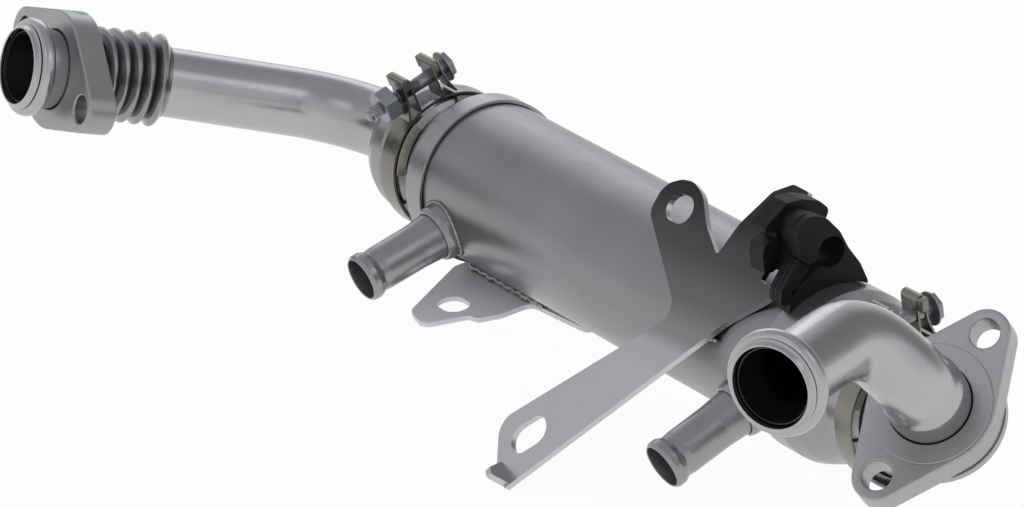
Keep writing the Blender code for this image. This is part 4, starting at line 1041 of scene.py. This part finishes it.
@dataclass
class GasPipe:
    """What the two gas pipes share: tube sizes, beaded ends, liners and oval flanges."""

    radius: float = 0.0142
    wall: float = 0.0014
    end_bore: float = 0.0150
    lip: float = 0.0161
    bead: float = 0.0199
    bead_start: float = 0.0026
    bead_length: float = 0.0060
    neck: float = 0.0159
    end_length: float = 0.0140
    liner_wall: float = 0.0005
    flange_thickness: float = 0.0118
    flange_waist: float = 0.0243
    flange_lobe: float = 0.0096
    hole_radius: float = 0.0056
    hole_spacing: float = 0.0645
    flange_edge: float = 0.0008
    step_radius: float = 0.0232
    step_height: float = 0.0008
    step_root: float = 0.0010
    liner_start: float = 0.0022
    liner_end: float = 0.0170

    @staticmethod
    def start_frame(joint: float, sign: int, roll: float) -> Matrix:
        """Return the clamped joint's frame: Z out along the pipe, X towards its bend."""
        return axis_frame((joint, 0.0, 0.0), (sign, 0.0, 0.0), (0.0, -math.cos(roll), math.sin(roll)))

    def end_stations(self, mouth: Matrix) -> tuple[list[Station], list[Station]]:
        """Return the skin's and the bore's stations of a beaded end.

        Args:
            mouth: The frame of its open end, whose Z looks out.

        Returns:
            The skin's stations and the bore's stations, both from the mouth inwards.
        """
        start, length, bead = self.bead_start, self.bead_length, self.bead
        skin = [(0.0, self.lip - 0.0003), (0.0003, self.lip), (start - 0.0010, self.lip + 0.0004),
                (start - 0.0004, self.lip + 0.0014)]
        for i in range(13):
            angle = math.pi * i / 12
            skin.append((start + length * (0.5 - 0.5 * math.cos(angle)),
                         self.neck + 0.0006 + (bead - self.neck - 0.0006) * math.sin(angle) ** 0.6))
        skin.append((start + length + 0.0010, self.neck))
        bore = [(0.0, self.end_bore + 0.0003), (0.0004, self.end_bore), (start + length, self.end_bore)]
        return ([(along(mouth, -back), radius) for back, radius in skin],
                [(along(mouth, -back), radius) for back, radius in bore])

    def liner(self, side: str, mouth: Matrix) -> None:
        """Build the thin stepped liner inside a beaded end.

        Args:
            side: Which end it is in.
            mouth: The frame of the open end.
        """
        wide, narrow = self.end_bore - 2 * GAP, self.radius - self.wall - GAP
        step = self.bead_start + self.bead_length - 0.0010
        outer = [(wide, -self.liner_start, 0.0), (wide, -step, 0.0), (narrow, -self.end_length, 0.0),
                 (narrow, -self.liner_end, 0.0)]
        inner = [(r - self.liner_wall, h, 0.0) for r, h, _ in reversed(outer)]
        show(turned(outer + inner, mouth, PIPE_STEPS), f"{side}_end_liner", INSIDE_STEEL, f"{side}_liner")

    def flange(self, side: str, frame: Matrix, bore: float, step: bool) -> None:
        """Build an oval two-bolt flange behind the frame.

        Args:
            side: Which end it is on.
            frame: The frame of its front face.
            bore: The bore's radius.
            step: Raise a round step on its face.
        """
        half = self.hole_spacing / 2
        bm = bmesh.new()
        self._oval(bm, half)
        for x, radius in ((0.0, bore), (-half, self.hole_radius), (half, self.hole_radius)):
            bmesh.ops.create_circle(bm, cap_ends=False, segments=64, radius=radius,
                                    matrix=Matrix.Translation((x, 0.0, 0.0)))
        slab(bm, -self.flange_thickness)
        soften(bm, self.flange_edge, math.radians(60), 3)
        bmesh.ops.transform(bm, matrix=frame, verts=bm.verts)
        if step:
            wide, high, root = self.step_radius, self.step_height, -self.step_root
            ring = [(wide, high, 0.0004), (wide, root, 0.0), (bore, root, 0.0), (bore, high, 0.0004)]
            join(bm, turned(ring, frame))
        show(bm, f"{side}_oval_flange", CAST_STEEL if step else FLANGE_STEEL, f"{side}_flange")

    def _oval(self, bm: BMesh, half: float) -> None:
        """Add the flange's outline: two lobes joined to a round waist by tangents.

        Args:
            bm: The mesh it is added to.
            half: The distance from the flange's centre to each hole's.
        """
        touch = math.acos((self.flange_waist - self.flange_lobe) / half)
        arcs = ((half, self.flange_lobe, -touch, touch), (0.0, self.flange_waist, touch, math.pi - touch),
                (-half, self.flange_lobe, math.pi - touch, math.pi + touch),
                (0.0, self.flange_waist, math.pi + touch, FULL_TURN - touch))
        chains = []
        for centre, radius, start, end in arcs:
            vert = bm.verts.new((centre + radius * math.cos(start), radius * math.sin(start), 0.0))
            bmesh.ops.spin(bm, geom=[vert], cent=(centre, 0.0, 0.0), axis=UP, angle=end - start, steps=24,
                           use_duplicate=False)
            bm.verts.ensure_lookup_table()
            chains.append((vert, bm.verts[-1]))
        for i, (_, last) in enumerate(chains):
            bm.edges.new((last, chains[(i + 1) % 4][0]))


@dataclass
class InletSide(GasPipe):
    """The cup, bent pipe, bellows, flange and beaded stub of the gas inlet."""

    roll: float = math.radians(14)
    cup_radius: float = 0.0276
    cup_length: float = 0.0175
    cup_dome: float = 0.0095
    pipe_start: float = 0.0200
    bend_start: float = 0.0358
    bend_radius: float = 0.0450
    bend_angle: float = math.radians(69.9)
    straight: float = 0.0546
    waves: int = 5
    wave_steps: int = 16
    wave_fullness: float = 0.44
    pitch: float = 0.0063
    crest: float = 0.0190
    trough: float = 0.0158
    valley_depth: float = 0.0007
    bellows_wall: float = 0.0007
    bellows_bend: float = math.radians(15.5)
    cuff: float = 0.0012
    stub_tail: float = 0.0050
    stub_reach: float = 0.0155
    flange_turn: float = math.radians(-14)

    def build(self) -> None:
        """Build and dress the inlet side from the joint to its mouth."""
        start = self.start_frame(INLET_JOINT, -1, self.roll)
        self._cup(start)
        bore = self.radius - self.wall
        bend = along(start, self.bend_start)
        route = [along(start, self.pipe_start), bend] + bend_route(bend, self.bend_radius, self.bend_angle)
        pipe_end = along(route[-1], self.straight)
        route.append(pipe_end)
        skin = [(frame, self.radius) for frame in route]
        show(loft(skin + [(frame, bore) for frame in reversed(route)], PIPE_STEPS), "inlet_bent_pipe",
             PIPE_STEEL, "inlet_pipe")
        end = self._bellows(pipe_end)
        tail = along(end, GAP)
        front = along(tail, self.stub_tail + self.flange_thickness)
        mouth = along(front, self.stub_reach)
        skin, inside = self.end_stations(mouth)
        skin += [(along(tail, self.stub_tail - 0.0010), self.neck), (tail, self.trough)]
        inside += [(along(mouth, -self.end_length), bore), (tail, bore)]
        show(loft(skin + inside[::-1], PIPE_STEPS), "inlet_beaded_end", PIPE_STEEL, "inlet_stub")
        self.liner("inlet", mouth)
        self.flange("inlet", rolled(front, self.flange_turn), self.neck + GAP, False)

    def _cup(self, start: Matrix) -> None:
        """Build the spun cup between the joint and the pipe.

        Args:
            start: The clamped joint's frame.
        """
        body = CoolerBody()
        cup, dome, length = self.cup_radius, self.cup_dome, self.cup_length
        collar, top, wall = self.radius + GAP, length + dome, body.wall
        back = body.rim_points()[0]
        neck_in = body.neck - body.neck_wall
        outer = [(collar + wall, top + 0.0030, 0.0003), (collar + wall, top, 0.0015),
                 (0.55 * cup + 0.45 * collar, top - 0.10 * dome, 0.0030),
                 (0.86 * cup + 0.14 * collar, length + 0.52 * dome, 0.0040), (cup, length, 0.0030),
                 (cup, length - 0.0060, 0.0020), (body.neck, back[1] + 0.0012, 0.0008)]
        inner = [(neck_in, body.gasket / 2 + GAP, 0.0), (neck_in, back[1] + 0.0012, 0.0),
                 (cup - wall, length - 0.0060, 0.0), (cup - wall, length, 0.0),
                 (0.86 * cup + 0.14 * collar - wall, length + 0.40 * dome, 0.0), (collar, top - 1.2 * wall, 0.0),
                 (collar, top + 0.0030, 0.0)]
        show(turned(outer + body.rim_points() + inner, start, CUP_STEPS), "inlet_spun_cup", PRESSED_STEEL,
             "inlet_cup")

    def _bellows(self, pipe_end: Matrix) -> Matrix:
        """Build the bellows.

        Args:
            pipe_end: The frame at the end of the bent pipe.

        Returns:
            The frame at the bellows' far end.
        """
        start = along(pipe_end, -self.cuff)
        valley = self.trough - self.valley_depth
        arc = self.waves * self.pitch / self.bellows_bend
        skin = [(start, self.radius + GAP + 0.0002)]
        inside = [(start, self.radius + GAP)]
        steps = self.waves * self.wave_steps
        for number in range(steps):
            share = (number % self.wave_steps) / self.wave_steps
            swell = (0.5 - 0.5 * math.cos(FULL_TURN * share)) ** self.wave_fullness
            radius = valley + (self.crest - valley) * swell
            frame = bent(pipe_end, arc, self.bellows_bend * number / steps)
            skin.append((frame, radius))
            inside.append((frame, radius - self.bellows_wall))
        end = bent(pipe_end, arc, self.bellows_bend)
        skin.append((end, valley))
        inside.append((end, valley - self.bellows_wall))
        show(loft(skin + inside[::-1], PIPE_STEPS), "inlet_formed_bellows", BELLOWS_STEEL, "inlet_bellows")
        return end


@dataclass
class OutletSide(GasPipe):
    """The elbow casting, flange, swan neck pipe and liner of the gas outlet."""

    roll: float = math.radians(46)
    hub_straight: float = 0.0155
    hub_radius: float = 0.0192
    hub_wall: float = 0.0026
    hub_bend: float = 0.0205
    hub_angle: float = math.radians(65)
    boss: float = 0.0248
    boss_height: float = 0.0046
    collar: float = 0.0155
    seat_depth: float = 0.0080
    collar_reach: float = 0.0155
    first_radius: float = 0.0280
    first_angle: float = math.radians(37.5)
    middle: float = 0.0046
    turn: float = math.radians(129)
    second_radius: float = 0.0280
    second_angle: float = math.radians(60)
    last: float = 0.0299

    def build(self) -> None:
        """Build and dress the outlet side from the joint to its mouth."""
        start = self.start_frame(OUTLET_JOINT, 1, self.roll)
        boss_top = self._casting(start)
        front = along(boss_top, GAP + self.flange_thickness)
        self.flange("outlet", rolled(front, math.pi / 2), self.collar + GAP, True)
        mouth = self._swan_neck(front)
        self.liner("outlet", mouth)

    def _casting(self, start: Matrix) -> Matrix:
        """Build the elbow casting.

        Args:
            start: The clamped joint's frame.

        Returns:
            The frame on its boss, whose Z looks to the flange.
        """
        body = CoolerBody()
        rim = body.rim_points()
        neck_in = body.neck - body.neck_wall
        bend = along(start, self.hub_straight)
        route = [bend] + bend_route(bend, self.hub_bend, self.hub_angle)
        bore = self.hub_radius - self.hub_wall
        skin = [(along(start, rim[2][1]), rim[2][0]), (along(start, rim[1][1]), rim[1][0]),
                (along(start, rim[0][1]), rim[0][0]), (along(start, rim[0][1] + 0.0025), body.neck),
                (along(start, rim[0][1] + 0.0040), body.neck - 0.0006),
                (along(start, self.hub_straight - 0.0020), self.hub_radius + 0.0012)]
        skin += [(frame, self.hub_radius) for frame in route]
        boss = [along(route[-1], 0.0012), along(route[-1], 0.0024), along(route[-1], 0.0012 + self.boss_height)]
        skin += [(boss[0], self.boss - 0.0016), (boss[1], self.boss), (boss[2], self.boss)]
        inside = [(along(start, rim[2][1]), neck_in), (along(start, rim[0][1] + 0.0025), neck_in),
                  (along(start, self.hub_straight - 0.0010), bore)]
        inside += [(frame, bore) for frame in route] + [(boss[2], bore)]
        show(loft(skin + inside[::-1], 96), "outlet_cast_elbow", CAST_STEEL, "outlet_elbow_casting")
        return boss[2]

    def _swan_neck(self, front: Matrix) -> Matrix:
        """Build the swan neck pipe.

        Args:
            front: The frame of the flange's front face.

        Returns:
            The frame at the pipe's mouth.
        """
        seat, first = along(front, -self.seat_depth), along(front, self.collar_reach)
        bend = bend_route(first, self.first_radius, self.first_angle)
        second = rolled(along(bend[-1], self.middle), self.turn)
        unturned = [rolled(frame, -self.turn) for frame in bend_route(second, self.second_radius, self.second_angle)]
        route = bend + [along(bend[-1], self.middle)] + unturned
        neck = along(unturned[-1], self.last)
        mouth = along(neck, self.end_length)
        bore = self.radius - self.wall
        skin = [(seat, self.collar), (along(first, -0.0030), self.collar),
                (along(first, -0.0015), self.collar - 0.0003), (first, self.radius + 0.0004)]
        skin += [(frame, self.radius) for frame in route] + [(along(neck, -0.0020), self.radius)]
        end_skin, end_bore = self.end_stations(mouth)
        skin += end_skin[::-1]
        inside = [(seat, bore), (first, bore)] + [(frame, bore) for frame in route] + [(neck, bore)] + end_bore[::-1]
        show(loft(skin + inside[::-1], PIPE_STEPS), "outlet_swan_pipe", PIPE_STEEL, "outlet_swan_neck")
        return mouth


# ---------------------------------------------------------------- brackets and clip


@dataclass
class Brackets:
    """The mounting bracket, the lower bracket and their weld beads.

    Outlines lie on a plane beside the shell: along the cooler, then across it. The holes are given as
    slot_corners takes them.
    """

    shell: float = SHELL_RADIUS
    turn: float = BRACKET_TURN
    thickness: float = 0.0025
    tab_turn: float = math.radians(277.5)
    tab_thickness: float = 0.0020
    weld: float = 0.0010
    heavy_weld: float = 0.0017
    plate_welds: Pair = (0.1030, 0.1300)
    tab_weld: Pair = (-0.0765, -0.0230)
    flat: float = 0.97
    edge: float = 0.0008
    fine_edge: float = 0.0004
    outline: tuple[Corner, ...] = (
        (0.0620, 0.0275, 0.0030), (0.0645, 0.0318, 0.0050), (0.0700, 0.0349, 0.0080), (0.0765, 0.0362, 0.0100),
        (0.0850, 0.0338, 0.0150), (0.0960, 0.0238, 0.0200), (0.1100, 0.0158, 0.0015), (0.1125, 0.0300, 0.0120),
        (0.1205, 0.0465, 0.0040), (0.1290, 0.0525, 0.0030), (0.1392, 0.0525, 0.0015), (0.1392, 0.0150, 0.0015),
        (0.1530, 0.0148, 0.0040), (0.1330, -0.0055, 0.0200), (0.0670, -0.1000, 0.0006),
        (0.0560, -0.0935, 0.0006), (0.0445, -0.0790, 0.0080), (0.1055, -0.0105, 0.0080),
        (0.0620, 0.0185, 0.0060))
    eye: tuple[float, float, Pair, float] = (0.0114, 0.0152, (0.0772, 0.0248), 0.0)
    slot: tuple[float, float, Pair, float] = (0.0122, 0.0183, (0.0642, -0.0777), math.radians(50))
    tab_outline: tuple[Corner, ...] = (
        (-0.0770, -0.0040, 0.0020), (0.0040, -0.0040, 0.0020), (0.0040, 0.0125, 0.0040),
        (-0.0330, 0.0150, 0.0040), (-0.0330, 0.0290, 0.0040), (-0.0365, 0.0385, 0.0030),
        (-0.0415, 0.0385, 0.0040), (-0.0480, 0.0565, 0.0050), (-0.0620, 0.0535, 0.0080),
        (-0.0845, 0.0185, 0.0050), (-0.0845, 0.0108, 0.0015), (-0.0770, 0.0108, 0.0015))
    tab_hole: tuple[float, float, Pair, float] = (0.0112, 0.0148, (-0.0545, 0.0378), 0.0)

    def build(self) -> None:
        """Build and dress both brackets."""
        frame = tangent_frame(self.turn, self.shell + GAP)
        bm = plate([self.outline, slot_corners(*self.eye), slot_corners(*self.slot)], self.thickness, frame,
                   self.edge)
        join(bm, self._lip(frame, *self.outline[14:16]))
        piece = show(bm, "mounting_plate", MOUNT_STEEL, "mounting_bracket")
        self._paint_rim_highlight(piece, frame.col[2].to_3d())
        for name, side in (("upper", 1), ("lower", -1)):
            self._weld(f"bracket_weld_{name}", frame, self.plate_welds, side, self.weld)
        frame = tangent_frame(self.tab_turn, self.shell + GAP)
        show(plate([self.tab_outline, slot_corners(*self.tab_hole)], self.tab_thickness, frame, self.fine_edge),
             "lower_plate", PAINTED_LIGHT_STEEL, "lower_bracket")
        self._weld("lower_bracket_weld", frame, self.tab_weld, 1, self.heavy_weld)

    def _weld(self, node: str, frame: Matrix, span: Pair, side: int, radius: float) -> None:
        """Lay the rippled bead in the wedge between a flat plate and the shell.

        Args:
            node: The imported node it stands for.
            frame: The plate's frame.
            span: Where the bead starts and ends along the cooler.
            side: The side of the shell's crown it lies on.
            radius: The bead's radius.
        """
        height = radius + GAP
        across = math.sqrt((self.shell + height) ** 2 - (self.shell + GAP - height) ** 2)
        count = round((span[1] - span[0]) / (0.8 * radius))
        step = (span[1] - span[0] - 2 * radius) / count
        spots = [frame @ Vector((span[0] + radius + step * i, side * (across + 0.3 * radius * math.sin(1.3 * i)),
                                 -height)) for i in range(count + 1)]
        show(beads(spots, radius), f"{node}_bead", BEAD_STEEL, node)

    def _paint_rim_highlight(self, piece: bpy.types.Object, normal: Vector) -> None:
        """Paint a highlight on the plate's rims and holes: their faces take a brighter steel without the plate's
        painted shade.

        Args:
            piece: The plate.
            normal: The plate's normal.
        """
        piece.data.materials.append(RIM_HIGHLIGHT_STEEL.build())
        for face in piece.data.polygons:
            if abs(face.normal.dot(normal)) < self.flat:
                face.material_index = 1

    def _lip(self, frame: Matrix, foot: Corner, head: Corner) -> BMesh:
        """Return the small folded lip that stands on the mounting plate's lower end.

        Args:
            frame: The plate's frame.
            foot: The outline's corner that it starts from.
            head: The corner that it looks to.

        Returns:
            The lip.
        """
        root = Vector((foot[0], foot[1], self.thickness))
        way = (Vector((head[0], head[1], self.thickness)) - root).normalized()
        fold = Matrix.Translation(root) @ Matrix((way, UP, way.cross(UP))).transposed().to_4x4()
        outline = [(0.0008, -self.thickness / 2, 0.0), (0.0120, -self.thickness / 2, 0.0), (0.0116, 0.0006, 0.0006),
                   (0.0050, 0.0086, 0.0006), (0.0016, 0.0092, 0.0006), (0.0008, 0.0084, 0.0006)]
        return plate([outline], self.thickness, frame @ fold, self.fine_edge)


@dataclass
class LineClip:
    """The moulded clip on the mounting plate's arm: hooked back plate, body and jaw round one bore.

    Its outlines lie across the cooler: up the mounting plate, then out from it.
    """

    turn: float = BRACKET_TURN
    shell: float = SHELL_RADIUS
    start: float = 0.1395
    step: float = 0.1485
    jaw_start: float = 0.1530
    plate_end: float = 0.1533
    end: float = 0.1605
    bore: Pair = (0.0370, -0.0029)
    bore_radius: float = 0.0060
    bore_span: Pair = (229.7, 498.3)
    mouth_span: Pair = (173.3, 498.3)
    seat_radius: float = 0.0346
    low_seat: Pair = (11.7, 69.9)
    high_seat: Pair = (11.7, 73.7)
    hook_step: float = 0.0042
    head_step: float = 0.0037
    lap: float = 0.0002
    teeth: int = 3
    tooth: float = 0.0023
    tooth_pitch: float = 0.0026
    rounded: int = 5
    edge: float = 0.0005
    hook: tuple[Pair, ...] = (
        (0.0323, 0.0204), (0.0446, 0.0170), (0.0488, 0.0113), (0.0514, 0.0038), (0.0507, -0.0023),
        (0.0471, -0.0028), (0.0446, -0.0092), (0.0413, -0.0133), (0.0365, -0.0143), (0.0339, -0.0100))
    lobe: tuple[Pair, ...] = (
        (0.0199, 0.0068), (0.0180, 0.0098), (0.0230, 0.0146), (0.0266, 0.0162), (0.0311, 0.0134),
        (0.0331, 0.0150), (0.0311, 0.0191))
    body: tuple[Pair, ...] = (
        (0.0434, 0.0189), (0.0469, 0.0071), (0.0451, -0.0020), (0.0416, -0.0091), (0.0389, -0.0177),
        (0.0351, -0.0246))
    heel: tuple[Pair, ...] = ((0.0151, -0.0003), (0.0151, 0.0028), (0.0141, 0.0028))
    back: tuple[Pair, ...] = ((0.0176, 0.0047), (0.0167, 0.0042))
    brow: tuple[Pair, ...] = ((0.0216, 0.0060), (0.0292, 0.0085), (0.0359, 0.0151))
    jaw: tuple[Pair, ...] = (
        (0.0110, 0.0028), (0.0285, 0.0028), (0.0285, 0.0088), (0.0150, 0.0085), (0.0110, 0.0060))

    def build(self) -> None:
        """Build and dress the clip."""
        out = tangent_frame(self.turn, self.shell + GAP)
        frame = out @ Matrix(((0, 0, 1, 0), (1, 0, 0, 0), (0, 1, 0, 0), (0, 0, 0, 1)))
        hook = [*self.hook, *self._arc(self.bore, self.bore_radius, *self.bore_span), *self.lobe]
        middle, head = self.start + self.hook_step, self.plate_end + self.head_step
        bm = self._layer(hook, self.start, middle, frame, 0.0030)
        join(bm, self._layer(hook, middle - self.lap, self.step, frame, 0.0026))
        mouth = self._arc(self.bore, self.bore_radius, *self.mouth_span)
        axis = (0.0, -self.shell - GAP)
        low_seat = self._arc(axis, self.seat_radius, *self.low_seat)
        high_seat = self._arc(axis, self.seat_radius, *self.high_seat)
        low = [*self.body, *low_seat, *self.heel, *self.back, *mouth, *self.brow]
        high = [*self.body, *high_seat, *self.back, *mouth, *self.brow]
        join(bm, self._layer(low, self.step - GAP, self.plate_end + self.lap / 2, frame, 0.0070))
        join(bm, self._layer(high, self.plate_end, head, frame, 0.0066))
        join(bm, self._layer(high, head - self.lap, self.end, frame, 0.0070))
        for number in range(self.teeth):
            first = self.jaw_start + self.tooth_pitch * number
            join(bm, self._layer(list(self.jaw), first, first + self.tooth, frame))
        show(bm, "line_clip_moulding", MOULDED_BLACK, "line_clip", smooth=math.radians(30))

    def _layer(self, points: list[Pair], start: float, end: float, frame: Matrix,
               corner: float = 0.0006) -> BMesh:
        """Return one layer of the moulding.

        Args:
            points: Its outline.
            start: Where it starts along the cooler.
            end: Where it ends.
            frame: The outline's frame.
            corner: The radius of its first corners. The rest follow the bore and stay as they are.

        Returns:
            The layer with softened edges.
        """
        corners = [(x, y, corner if number < self.rounded else 0.0) for number, (x, y) in enumerate(points)]
        return plate([corners], end - start, along(frame, start), self.edge)

    @staticmethod
    def _arc(centre: Pair, radius: float, start: float, end: float) -> list[Pair]:
        """Return points on an arc.

        Args:
            centre: The arc's centre.
            radius: Its radius.
            start: The angle it starts at, in degrees.
            end: The angle it ends at, in degrees.

        Returns:
            The (x, y) points.
        """
        count = max(2, round(abs(end - start) / 8))
        angles = [math.radians(start + (end - start) * i / count) for i in range(count + 1)]
        return [(centre[0] + radius * math.cos(angle), centre[1] + radius * math.sin(angle)) for angle in angles]


@dataclass
class Dressing:
    """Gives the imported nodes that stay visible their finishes."""

    def build(self, frame: dict) -> None:
        """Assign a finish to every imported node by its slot.
        """
        finishes = {Slot.STEEL: PAINTED_LIGHT_STEEL, Slot.CLAMP: CLAMP_STEEL, Slot.ZINC: DULL_ZINC, Slot.GASKET: GRAPHITE,
                    Slot.PLASTIC: MOULDED_BLACK}
        slots = {row["node"]: row["material_slot"] for row in frame["record"]["subparts"]}
        inside = ("gas_tube", "baffle", "inlet_tube", "outlet_tube")
        for name, node in frame["nodes"].items():
            finish = INSIDE_STEEL if name.startswith(inside) else finishes[Slot(slots[name])]
            node.data.materials.clear()
            node.data.materials.append(finish.build())
            log.info("dressed %s", name)


# ---------------------------------------------------------------- studio


@dataclass(frozen=True)
class View:
    """The camera of the photograph, in the cooler's own coordinates."""

    position: Triple = (2.1323, -1.3949, 0.9631)
    right: Triple = (0.5362, 0.8441, 0.0)
    up: Triple = (-0.2999, 0.1905, 0.9348)
    back: Triple = (0.7891, -0.5012, 0.3553)
    lens: float = 246.09
    sensor: float = 36.0

    def build(self) -> None:
        """Make the scene's camera."""
        data = bpy.data.cameras.new("camera")
        data.lens, data.sensor_width = self.lens, self.sensor
        camera = bpy.data.objects.new("camera", data)
        turn = Matrix((self.right, self.up, self.back)).transposed().to_4x4()
        camera.matrix_world = Matrix.Translation(AXIS_POINT + Vector(self.position)) @ turn
        bpy.context.scene.collection.objects.link(camera)
        bpy.context.scene.camera = camera


@dataclass
class Studio:
    """The pale floor and the soft light of a product photograph.

    The sky is (height, colour) stops. The shaded side lies round shade_way. A lamp is its name, its place in
    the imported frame, its width and height, and its watts.
    """

    floor_drop: float = 0.0005
    floor_size: float = 6.0
    floor_white: float = 0.92
    floor_glow: float = 0.95
    tint: Triple = (0.90, 0.90, 1.0)
    sky: tuple[tuple[float, Triple], ...] = (
        (0.0, (0.86, 0.86, 0.87)), (0.45, (0.74, 0.74, 0.76)), (0.85, (0.50, 0.50, 0.53)))
    shade_way: Triple = (0.0, 0.90, 0.44)
    shade_edge: Pair = (0.80, 0.96)
    shade_light: float = 0.42
    lamps: tuple[tuple[str, Triple, Pair, float], ...] = (
        ("far_softbox", (-1.66, 0.77, 0.81), (1.1, 0.8), 2.4),
        ("side_softbox", (1.33, 0.48, 1.41), (0.9, 0.7), 1.4),
        ("key_softbox", (0.3, -1.4, 1.6), (1.0, 0.8), 1.2))

    def build(self) -> None:
        """Make the floor, the world and the lamps."""
        low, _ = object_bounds()
        bm = bmesh.new()
        bmesh.ops.create_grid(bm, x_segments=1, y_segments=1, size=self.floor_size / 2)
        bmesh.ops.translate(bm, verts=bm.verts, vec=(0.0, 0.0, low[2] - self.floor_drop))
        mesh = bpy.data.meshes.new("studio_floor")
        bm.to_mesh(mesh)
        bm.free()
        floor = bpy.data.objects.new("studio_floor", mesh)
        bpy.context.scene.collection.objects.link(floor)
        floor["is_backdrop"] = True
        mesh.materials.append(self._floor_paint())
        self._world()
        for lamp in self.lamps:
            self._lamp(*lamp)

    def _floor_paint(self) -> bpy.types.Material:
        """Make the floor's matte white, which keeps the cooler's shadow.

        Returns:
            The paint.
        """
        paint = bpy.data.materials.new("studio_paint")
        paint.use_nodes = True
        tree = paint.node_tree
        shader = tree.nodes["Principled BSDF"]
        shader.inputs["Base Color"].default_value = (self.floor_white, self.floor_white, self.floor_white, 1.0)
        shader.inputs["Roughness"].default_value = 0.9
        glow = tree.nodes.new("ShaderNodeEmission")
        glow.inputs["Strength"].default_value = 1.0
        rays = tree.nodes.new("ShaderNodeLightPath").outputs
        seen = math_node(tree, "MAXIMUM", rays["Is Camera Ray"], rays["Is Glossy Ray"])
        seen = math_node(tree, "MAXIMUM", seen, rays["Is Transmission Ray"])
        mix = tree.nodes.new("ShaderNodeMixShader")
        share = math_node(tree, "MULTIPLY", seen, self.floor_glow)
        for number, socket in enumerate((share, shader.outputs[0], glow.outputs[0])):
            tree.links.new(socket, mix.inputs[number])
        tree.links.new(mix.outputs[0], tree.nodes["Material Output"].inputs[0])
        return paint

    def _world(self) -> None:
        """Make the pale world: lighter at its horizon than overhead, with a shaded side behind the cooler."""
        world = bpy.data.worlds.new("studio_world")
        bpy.context.scene.world = world
        world.use_nodes = True
        tree = world.node_tree
        back = tree.nodes["Background"]
        place = tree.nodes.new("ShaderNodeTexCoord").outputs["Generated"]
        height = measured(tree, place, "DOT_PRODUCT", tuple(UP))
        tree.links.new(ramp(tree, height, list(self.sky)), back.inputs["Color"])
        lean = measured(tree, place, "DOT_PRODUCT", self.shade_way)
        tree.links.new(remap(tree, lean, self.shade_edge, (1.0, self.shade_light)), back.inputs["Strength"])

    def _lamp(self, name: str, place: Triple, size: Pair, power: float) -> None:
        """Add one softbox that looks at the cooler.

        Args:
            name: The lamp's name.
            place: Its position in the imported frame.
            size: Its width and its height.
            power: Its power in watts.
        """
        data = bpy.data.lights.new(name, "AREA")
        data.shape = "RECTANGLE"
        data.size, data.size_y, data.energy = *size, power
        data.color = self.tint
        lamp = bpy.data.objects.new(name, data)
        lamp.location = place
        lamp.rotation_euler = (-Vector(place)).to_track_quat("-Z", "Y").to_euler()
        bpy.context.scene.collection.objects.link(lamp)


def main() -> None:
    """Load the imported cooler, build its pieces, dress them and light them."""
    logging.basicConfig(level=logging.INFO, format="%(message)s")
    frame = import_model()
    View().build()
    Dressing().build(frame)
    CoolerBody().build()
    CoolantStub("inlet", x=-0.0663, droop=math.radians(18.9)).build()
    CoolantStub("outlet", x=0.1435, droop=math.radians(24.6)).build()
    BandClamp("inlet", x=INLET_JOINT, turn=math.radians(112.5), outboard=-1).build()
    BandClamp("outlet", x=OUTLET_JOINT, turn=math.radians(98.5), outboard=1).build()
    InletSide().build()
    OutletSide().build()
    Brackets().build()
    LineClip().build()
    Studio().build()
    bpy.context.scene.view_settings.view_transform = "Standard"


if __name__ == "__main__":
    main()
